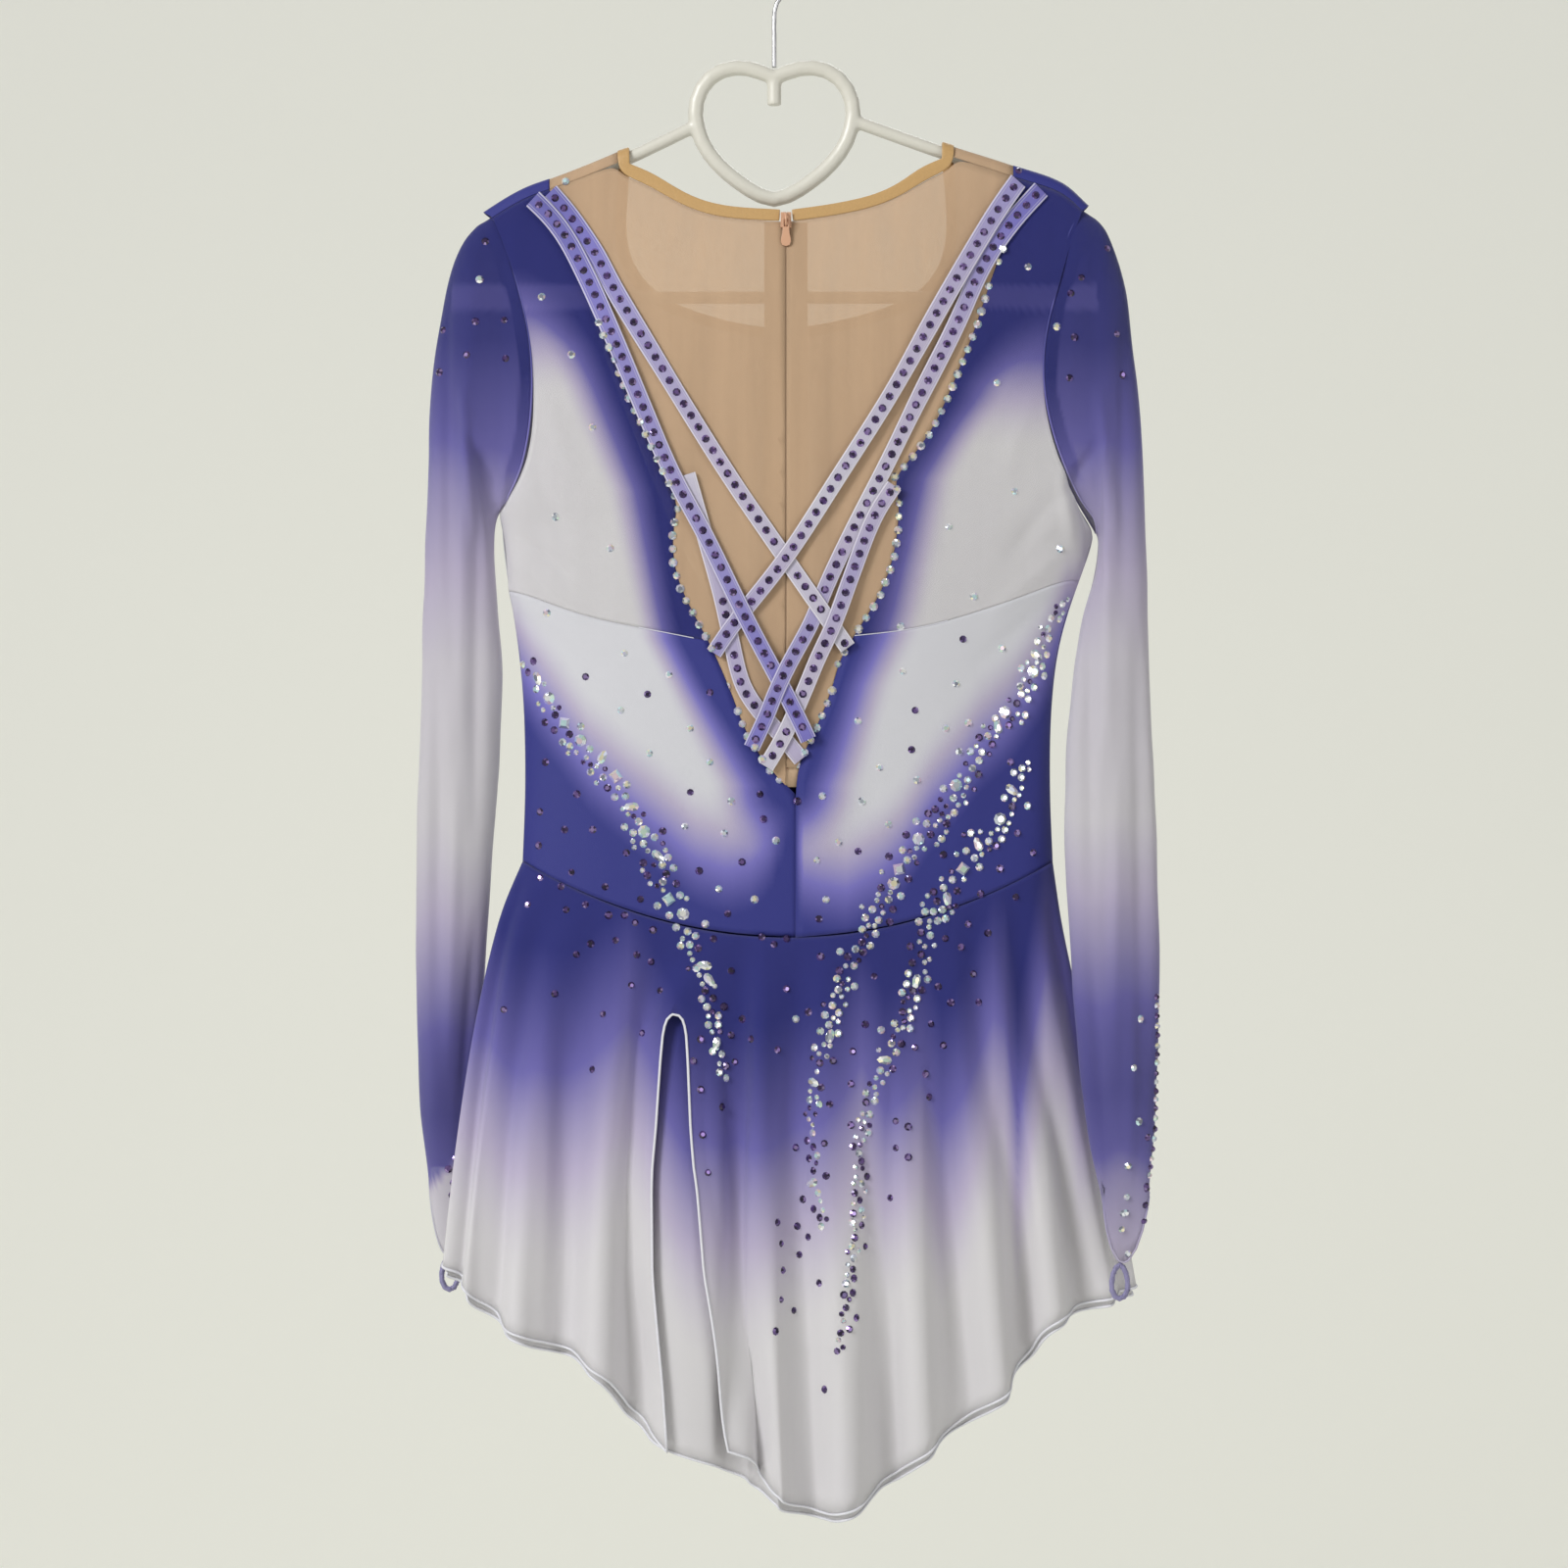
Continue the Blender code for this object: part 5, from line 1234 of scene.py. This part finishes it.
class DRESS_OT_sleeves(bpy.types.Operator):
    """Sheer sleeves with pointed cuffs and thumb loops"""
    bl_idname = "dress.sleeves"
    bl_label = "Sleeves"

    def execute(self, context):
        cloth = context.scene.dress_cloth
        sheer = sheer_cloth(cloth, "sheer_sleeve", cover=0.74, cell=0.5, crinkle=0.9)
        loop_finish = satin("loop_cord", hue(0.56, 0.54, 0.70))
        seam_cloth = strap_cloth(cloth)
        for side in SIDES:
            node = "sleeve_" + side
            obj = linked(node + "_cloth", lifted_face(node, face_size, lap=0.5))
            refine(obj, 3)
            self.close_cuff(obj)
            armhole = self.armhole(obj)
            self.cover_shoulder(obj, armhole)
            drape(obj, self.rumpled)
            dye(obj, lambda point, tree=armhole: sleeve_dye(point) + self.turned_in(tree, point))
            edges = [
                rolled_edge(obj, "cuff_hem_" + side, lambda middle: middle.z < -SLEEVE_MIDDLE, cloth.hem),
                rolled_edge(
                    obj, "armhole_seam_" + side, lambda middle: middle.z > -SLEEVE_MIDDLE,
                    cloth.hem * SEAM_THINNER)]
            shell(obj, cloth.thickness)
            settle(obj, sheer, [node])
            for edge in edges:
                dye(edge, sleeve_dye)
                settle(edge, seam_cloth)
            loop = moulded("thumb_loop_" + side, "thumb_cord_" + side, cell=0.35, rounds=6)
            for vert in loop.data.vertices:
                vert.co += vert.normal * LOOP_FULLER * MM
            settle(loop, loop_finish, ["thumb_loop_" + side])
        return {"FINISHED"}

    @staticmethod
    def armhole(obj):
        """Places along the armhole, to find how far a point of the sleeve is from it."""
        work = opened(obj.data)
        above = -SLEEVE_MIDDLE * MM
        places = [vert.co.copy() for vert in work.verts if vert.is_boundary and vert.co.z > above]
        work.free()
        tree = KDTree(len(places))
        for number, place in enumerate(places):
            tree.insert(place, number)
        tree.balance()
        return tree

    @staticmethod
    def close_cuff(obj):
        """Brings the back of the right cuff down along the point of its front."""
        start, length_down = CUFF_TAPER
        rim = CUFF_POINT[-1][1]
        for vert in obj.data.vertices:
            across, drop = spot_of(vert.co)
            if across < 0 or drop < start or vert.normal.y > 0:
                continue
            fall = level(CUFF_POINT, abs(across - CUFF_MIDDLE)) - rim
            fall *= min(1.0, (drop - start) / length_down) ** 2
            if drop < rim + CUFF_RIM:
                vert.co.z -= fall * MM
                vert.co.y += fall * CUFF_LEAN * MM

    @staticmethod
    def cover_shoulder(obj, armhole):
        """Laps the sleeve's top over the shoulder."""
        for vert in obj.data.vertices:
            near = 1 - smooth(armhole.find(vert.co)[2] / MM / LAP_REACH)
            high = 1 - eased(-vert.co.z / MM, *LAP_EASE)
            vert.co.x -= math.copysign(LAP * near * high, vert.co.x) * MM

    @staticmethod
    def turned_in(armhole, point):
        """The turned-in edge at the armhole shows through as deeper dye."""
        low = eased(-point.z / MM, *TURNED_IN_END_EASE)
        return TURNED_IN_DEEPER * (1 - low) * (1 - eased(armhole.find(point)[2] / MM, *TURNED_IN_EASE))

    @staticmethod
    def rumpled(point, normal):
        """Long soft folds of a hanging sleeve, and small ones across them."""
        turned = Vector((point.x * 45 + point.z * 18, point.y * 30, point.z * 26 - point.x * 30))
        slanting = SLEEVE_SLANTING * noise.noise(turned)
        return SLEEVE_CREASED * creased(point, normal) + ripple(point, *SLEEVE_WAVES) + slanting


class DRESS_OT_skirt(bpy.types.Operator):
    """Two layers of the skirt with rolled hems"""
    bl_idname = "dress.skirt"
    bl_label = "Skirt"

    def execute(self, context):
        cloth = context.scene.dress_cloth
        sheer = sheer_cloth(cloth, "sheer_skirt", cover=0.9, cell=0.6, crinkle=1.2)
        roll_finish = satin("white_roll", hue(0.90, 0.90, 0.93))
        for node in ("skirt_under", "skirt_outer"):
            obj = linked(node + "_cloth", lifted_face(node, face_size, lap=0.4))
            refine(obj, 3)
            if node == "skirt_outer":
                self.round_slit(obj)
            drape(obj, self.falling)
            if node == "skirt_outer":
                self.lift_off(obj, bpy.data.objects["skirt_under_cloth"])
            later = UNDER_LATER if node == "skirt_under" else 0.0
            dye(obj, lambda point, late=later: skirt_dye_and_shade(point, late))
            roll = rolled_edge(
                obj, node + "_hem", lambda middle: middle.z < -WAIST_FOOT, cloth.hem * SKIRT_HEM_THICKER)
            shell(obj, cloth.thickness * SKIRT_THINNER)
            settle(obj, sheer, [node])
            settle(roll, roll_finish)
        return {"FINISHED"}

    @staticmethod
    def falling(point, _):
        """Small folds between the large ones of the solid, none at the waist."""
        across, drop = spot_of(point)
        start, length_down = FOLD_RUN
        share = (drop - start) / length_down
        folds = 0.0
        for waist_across, hem_across, width, depth in FOLDS[BACK if point.y < 0 else FRONT]:
            away = (across - waist_across - (hem_across - waist_across) * share) / width
            if abs(away) < CREASE_REACH:
                folds += depth * math.exp(-away * away)
        uneven = folds + ripple(point, *SKIRT_FINE_WAVES) + ripple(point, *SKIRT_WAVES)
        return eased(drop, *FOLD_EASE) * uneven

    @staticmethod
    def lift_off(obj, under):
        """Brings the outer layer clear of the under layer beside the slit."""
        work = opened(under.data)
        tree = BVHTree.FromBMesh(work)
        work.free()
        for vert in obj.data.vertices:
            if vert.co.y > 0 or abs(vert.co.x / MM - SLIT_ACROSS) > SLIT_REACH:
                continue
            place = seen_from_behind(tree, vert.co.x, vert.co.z)[0]
            if place and place.y < 0:
                vert.co.y = min(vert.co.y, place.y - SLIT_CLEAR * MM)

    @staticmethod
    def round_slit(obj):
        """Brings the slit's edges to their table: a narrow arch above, wider and slanting below."""
        work = opened(obj.data)
        rim = [
            spot_of(vert.co) for vert in work.verts
            if vert.is_boundary and vert.co.y < 0 and WAIST_FOOT < -vert.co.z / MM < SLIT_FOOT
            and abs(vert.co.x / MM - SLIT_ACROSS) < SLIT_EDGE]
        middle, top = min(rim, key=lambda spot: spot[1])
        rows = {-1: [], 1: []}
        for across, drop in rim:
            rows[1 if across > middle - (drop - top) * SLIT_LEAN else -1].append((drop, across))
        for found in rows.values():
            found.sort()
        for vert in work.verts:
            across, drop = spot_of(vert.co)
            if vert.co.y > 0 or abs(across - SLIT_ACROSS) > SLIT_REACH or drop < top - SLIT_BLEND:
                continue
            left, right = level(rows[-1], drop), level(rows[1], drop)
            side = -1 if across < (left + right) / 2 else 1
            raised = drop - (top - SLIT_TOP) * (1 - eased(drop, top, SLIT_BLEND))
            edge = level(rows[side], drop)
            push = level(SLIT_MIDDLE, raised) + side * level(SLIT_HALF, raised) - edge
            fade = math.exp(-((across - edge) / SLIT_FADE) ** 2)
            if drop < top:
                push = (SLIT_MIDDLE[0][1] - middle) * smooth(1 - (top - drop) / SLIT_BLEND)
                raised = drop - (top - SLIT_TOP) * smooth(1 - (top - drop) / SLIT_RISE)
            vert.co.x += push * fade * MM
            vert.co.z -= (raised - drop) * fade * MM
        work.to_mesh(obj.data)
        work.free()


def gem_shape(corners, table, height):
    """Corners and facets of one flat-backed stone of radius 1."""
    bpy.ops.object.select_all(action="DESELECT")
    bpy.ops.mesh.primitive_cone_add(
        vertices=corners, radius1=1.0, radius2=table, depth=height, location=(0, 0, height / 2))
    cut = bpy.context.object
    bpy.ops.object.transform_apply(location=True)
    points = [vert.co.copy() for vert in cut.data.vertices]
    facets = [list(face.vertices) for face in cut.data.polygons]
    bpy.data.objects.remove(cut, do_unlink=True)
    return points, facets


class Setter:
    """Lays stones on the finished cloth and keeps them apart."""

    def __init__(self, scene, pieces):
        self.sizes = scene.dress_stones
        self.random = random.Random(self.sizes.seed)
        self.shapes = {shape: gem_shape(*sizes) for shape, sizes in GEMS.items()}
        for point in self.shapes["drop"][0]:
            point.y *= DROP_TIP if point.y > 0 else DROP_FOOT
            point.x *= DROP_WIDTH
        graph = bpy.context.evaluated_depsgraph_get()
        self.trees = {name: BVHTree.FromObject(bpy.data.objects[name], graph) for name in pieces}
        self.laid = []
        self.stones = []

    def touch(self, across, drop, only_on=None):
        """First cloth met at a place of the back: its point, outward normal and name."""
        best = None
        for name, tree in self.trees.items():
            point, normal, _, distance = seen_from_behind(tree, across * MM, -drop * MM)
            if point and (best is None or distance < best[3]):
                best = (point, normal if normal.y < 0 else -normal, name, distance)
        if best is None or (only_on and not best[2].startswith(only_on)):
            return None
        return best[:3]

    def free(self, across, drop, radius, gap):
        """True where a stone would keep its gap to all others; below 0 they may overlap that much."""
        return all(math.hypot(across - a, drop - d) > radius + r + gap for a, d, r in self.laid)

    def lay(self, across, drop, radius, tints_and_glints, shape="round", only_on=None, gap=0.0):
        """One stone at a place, if there is cloth and room for it."""
        if not self.free(across, drop, radius, gap):
            return
        spot = self.touch(across, drop, only_on)
        if spot is None:
            return
        point, normal, cloth = spot
        turn = normal.to_track_quat("Z", "Y").to_matrix()
        turn = turn @ Matrix.Rotation(self.random.uniform(0, 2 * math.pi), 3, "Z")
        tilt = Matrix.Rotation(self.random.gauss(0, STONE_TILT), 3, "X")
        scale = Matrix.Diagonal([radius * MM] * 3)
        self.stones.append((point, turn @ tilt @ scale, shape, tints_and_glints, cloth))
        self.laid.append((across, drop, radius))

    def lay_on_edge(self, drop, radius, tints_and_glints):
        """One stone on the outer edge of the right sleeve."""
        name = "sleeve_right_cloth"
        for depth in EDGE_DEPTHS:
            start = Vector((RAY_START, depth * MM, -drop * MM))
            point, normal = self.trees[name].ray_cast(start, Vector((-1, 0, 0)))[:2]
            if point and (point - self.stones[-1][0]).length > EDGE_GAP * MM:
                outward = Vector((max(EDGE_TURN, normal.x), normal.y - EDGE_TURN, normal.z))
                scale = Matrix.Diagonal((radius * MM, radius * MM, radius * MM * EDGE_HEIGHT))
                turn = outward.to_track_quat("Z", "Y").to_matrix()
                self.stones.append((point, turn @ scale, "round", tints_and_glints, name))
                return

    def finish(self, material):
        """The stones of each piece of cloth, as one mesh with a tint on each facet, painted glints and dark
        reflections among them.
        """
        for name in self.trees:
            stones = [stone for stone in self.stones if stone[4] == name]
            if stones:
                self.piece("stones_" + name.replace("_cloth", ""), stones, material)

    def piece(self, name, stones, material):
        """One mesh of stones."""
        points, facets, colours = [], [], []
        for seat, turn, shape, tints_and_glints, _ in stones:
            shape_points, shape_facets = self.shapes[shape]
            start = len(points)
            points += [seat + turn @ point for point in shape_points]
            for facet in shape_facets:
                facets.append([start + corner for corner in facet])
                colours += [self.random.choice(tints_and_glints)] * len(facet)
        mesh = bpy.data.meshes.new(name)
        mesh.from_pydata(points, [], facets)
        layer = mesh.attributes.new("glint", "FLOAT_COLOR", "CORNER")
        for corner, colour in zip(layer.data, colours):
            corner.color = (*colour, 1)
        obj = bpy.data.objects.new(name, mesh)
        bpy.context.scene.collection.objects.link(obj)
        settle(obj, material)
        only(obj)
        bpy.ops.object.shade_flat()


def along(route, pitch, start=0.0):
    """Places at even steps along a route."""
    places = []
    carried = start
    for (across, drop), (next_across, next_drop) in zip(route, route[1:]):
        run, fall = next_across - across, next_drop - drop
        reach = math.hypot(run, fall)
        while carried < reach:
            t = carried / reach
            places.append((across + run * t, drop + fall * t))
            carried += pitch
        carried -= reach
    return places


class DRESS_OT_stones(bpy.types.Operator):
    """Rhinestones on the straps, the keyhole's edge, the streaks and the cloth between"""
    bl_idname = "dress.stones"
    bl_label = "Rhinestones"

    def execute(self, context):
        sizes = context.scene.dress_stones
        cloth_pieces = [obj.name for obj in context.scene.objects if obj.name.endswith("_cloth")]
        setter = Setter(context.scene, cloth_pieces)
        for name in STRAPS:
            self.on_strap(setter, name, sizes)
        for route in KEYHOLE_EDGES:
            for across, drop in along(route, KEYHOLE_PITCH):
                radius = sizes.middle * setter.random.uniform(*KEYHOLE_SIZES) / MM
                setter.lay(across, drop, radius, CLEAR, gap=KEYHOLE_GAP)
        for shape, spots in LARGE_STONES.items():
            radius = sizes.large * LARGE_SHARES[shape] / MM
            for across, drop in spots:
                setter.lay(across, drop, radius, CLEAR, shape, gap=LARGE_GAP)
        for tints_and_glints, spots in ((DARK, DARK_SINGLES), (CLEAR, CLEAR_SINGLES)):
            for across, drop in spots:
                radius = sizes.middle * setter.random.uniform(*SINGLE_SIZES) / MM
                setter.lay(across, drop, radius, tints_and_glints, gap=SINGLE_GAP)
        for streak in STREAKS:
            self.streak(setter, streak, sizes)
        drop, tints_and_glints = SLEEVE_EDGE[0], DARK
        while drop < SLEEVE_EDGE[1]:
            setter.lay_on_edge(drop, sizes.middle * setter.random.uniform(*EDGE_SIZES) / MM, tints_and_glints)
            drop += setter.random.uniform(*EDGE_STEPS)
            tints_and_glints = CLEAR if tints_and_glints is DARK else DARK
        setter.finish(cut_glass())
        return {"FINISHED"}

    @staticmethod
    def on_strap(setter, name, sizes):
        """Dark stones down the middle of a strap, none where another strap lies over it."""
        own = "strap_" + name
        radius = sizes.middle / MM
        around = [(0, 0), (radius * 0.8, 0), (-radius * 0.8, 0), (0, radius), (0, -radius)]
        route = [spot_of(point) for point in MIDDLES[name]]
        for across, drop in along(route, STRAP_PITCH, STRAP_PITCH * 0.6):
            if all(setter.touch(across + run, drop + fall, own) for run, fall in around):
                setter.lay(across, drop, radius, DARK, only_on=own, gap=STRAP_GAP)

    @staticmethod
    def streak(setter, streak, sizes):
        """A drift of clear and dark stones along a route, thick where the table says so."""
        steps = along(streak.route, STREAK_STEP)
        for number, spot in enumerate(steps):
            spread = level(streak.spread, number / len(steps))
            for _ in range(STREAK_TRIES):
                radius = sizes.small if setter.random.random() < SMALL_SHARE else sizes.middle
                tints_and_glints = CLEAR if setter.random.random() < streak.clear else DARK
                across, drop = (
                    middle + setter.random.gauss(0, spread * stray) for middle, stray in zip(spot, STRAY))
                setter.lay(across, drop, radius / MM, tints_and_glints)


class DRESS_OT_cuts(bpy.types.Operator):
    """Gathers, for each piece of cloth, what is sewn on it, without keeping the lists"""
    bl_idname = "dress.cuts"
    bl_label = "Cut sizes"

    def execute(self, context):
        for name, cut in CUTS.items():
            stones = ["stones_" + piece.replace("_cloth", "") for piece in [name] + cut.with_pieces]
            on_it = cut.with_pieces + [piece for piece in stones if piece in bpy.data.objects]
        return {"FINISHED"}


class DRESS_OT_stage(bpy.types.Operator):
    """Pale room, soft lights and the camera"""
    bl_idname = "dress.stage"
    bl_label = "Stage"

    def execute(self, context):
        stage = context.scene.dress_stage
        self.room(context.scene, stage)
        self.floor(stage)
        for lamp in LAMPS:
            self.light(lamp)
        camera = bpy.data.objects.new("camera", bpy.data.cameras.new("camera"))
        context.scene.collection.objects.link(camera)
        camera.data.sensor_width = SENSOR
        camera.data.lens = SENSOR * (stage.distance - DRESS_FACE * MM) / stage.width
        across, drop = PICTURE_MIDDLE
        camera.location = (across * MM, -stage.distance, -drop * MM)
        camera.rotation_euler = (math.pi / 2, 0, 0)
        context.scene.camera = camera
        context.scene.view_settings.view_transform = "Standard"
        return {"FINISHED"}

    @staticmethod
    def room(scene, stage):
        """Even light from all round."""
        world = bpy.data.worlds.new("room")
        world.use_nodes = True
        background = world.node_tree.nodes["Background"]
        background.inputs["Color"].default_value = rgba(stage.backdrop)
        background.inputs["Strength"].default_value = stage.brightness
        scene.world = world

    @staticmethod
    def floor(stage):
        """A pale floor far below the skirt, and a pale wall far behind the dress."""
        finish = Finish("pale_room", 0.85, Emission_Strength=stage.glow)
        cloudy = finish.speckle(0.5, 2)
        tone = finish.mix(cloudy, tinted(stage.backdrop, 0.95), rgba(stage.backdrop))
        finish.feed("Base Color", tone)
        finish.feed("Emission Color", tone)
        for name, place, turn in (("floor", FLOOR_PLACE, 0), ("wall", WALL_PLACE, math.pi / 2)):
            bpy.ops.object.select_all(action="DESELECT")
            bpy.ops.mesh.primitive_plane_add(size=ROOM_SIZE, location=place, rotation=(turn, 0, 0))
            face = bpy.context.object
            face.name = name
            bpy.ops.object.transform_apply(location=True, rotation=True)
            face.data.materials.append(finish.material)

    @staticmethod
    def light(lamp):
        """A soft square lamp that points at the middle of the dress."""
        area = bpy.data.lights.new(lamp.name, "AREA")
        area.size = lamp.size
        area.energy = lamp.power
        obj = bpy.data.objects.new(lamp.name, area)
        bpy.context.scene.collection.objects.link(obj)
        obj.location = lamp.place
        target = Vector((0, 0, -PICTURE_MIDDLE[1] * MM))
        obj.rotation_euler = (target - obj.location).to_track_quat("-Z", "Y").to_euler()


class DRESS_PT_panel(bpy.types.Panel):
    """The dress's pieces and sizes"""
    bl_idname = "DRESS_PT_panel"
    bl_label = "Skating Dress"
    bl_space_type = "VIEW_3D"
    bl_region_type = "UI"
    bl_category = "Dress"

    def draw(self, context):
        for kind in MAKERS:
            self.layout.operator(kind.bl_idname)
        for group_name in GROUPS:
            group = getattr(context.scene, group_name)
            for name in group.bl_rna.properties.keys():
                if name not in ("rna_type", "name"):
                    self.layout.prop(group, name)


MAKERS = (
    DRESS_OT_stage, DRESS_OT_hanger, DRESS_OT_bodice, DRESS_OT_mesh, DRESS_OT_binding, DRESS_OT_zip,
    DRESS_OT_straps, DRESS_OT_sleeves, DRESS_OT_skirt, DRESS_OT_stones, DRESS_OT_cuts,
)
GROUPS = {"dress_cloth": DressCloth, "dress_stones": DressStones, "dress_stage": DressStage}


def register():
    for kind in (*GROUPS.values(), *MAKERS, DRESS_PT_panel):
        bpy.utils.register_class(kind)
    for name, group in GROUPS.items():
        setattr(bpy.types.Scene, name, bpy.props.PointerProperty(type=group))


def unregister():
    for name in GROUPS:
        delattr(bpy.types.Scene, name)
    for kind in reversed((*GROUPS.values(), *MAKERS, DRESS_PT_panel)):
        bpy.utils.unregister_class(kind)


def main():
    register()
    for kind in MAKERS:
        section, maker = kind.bl_idname.split(".")
        result = getattr(getattr(bpy.ops, section), maker)()
        if result != {"FINISHED"}:
            raise RuntimeError(kind.bl_label + " was not finished")


if __name__ == "__main__":
    main()
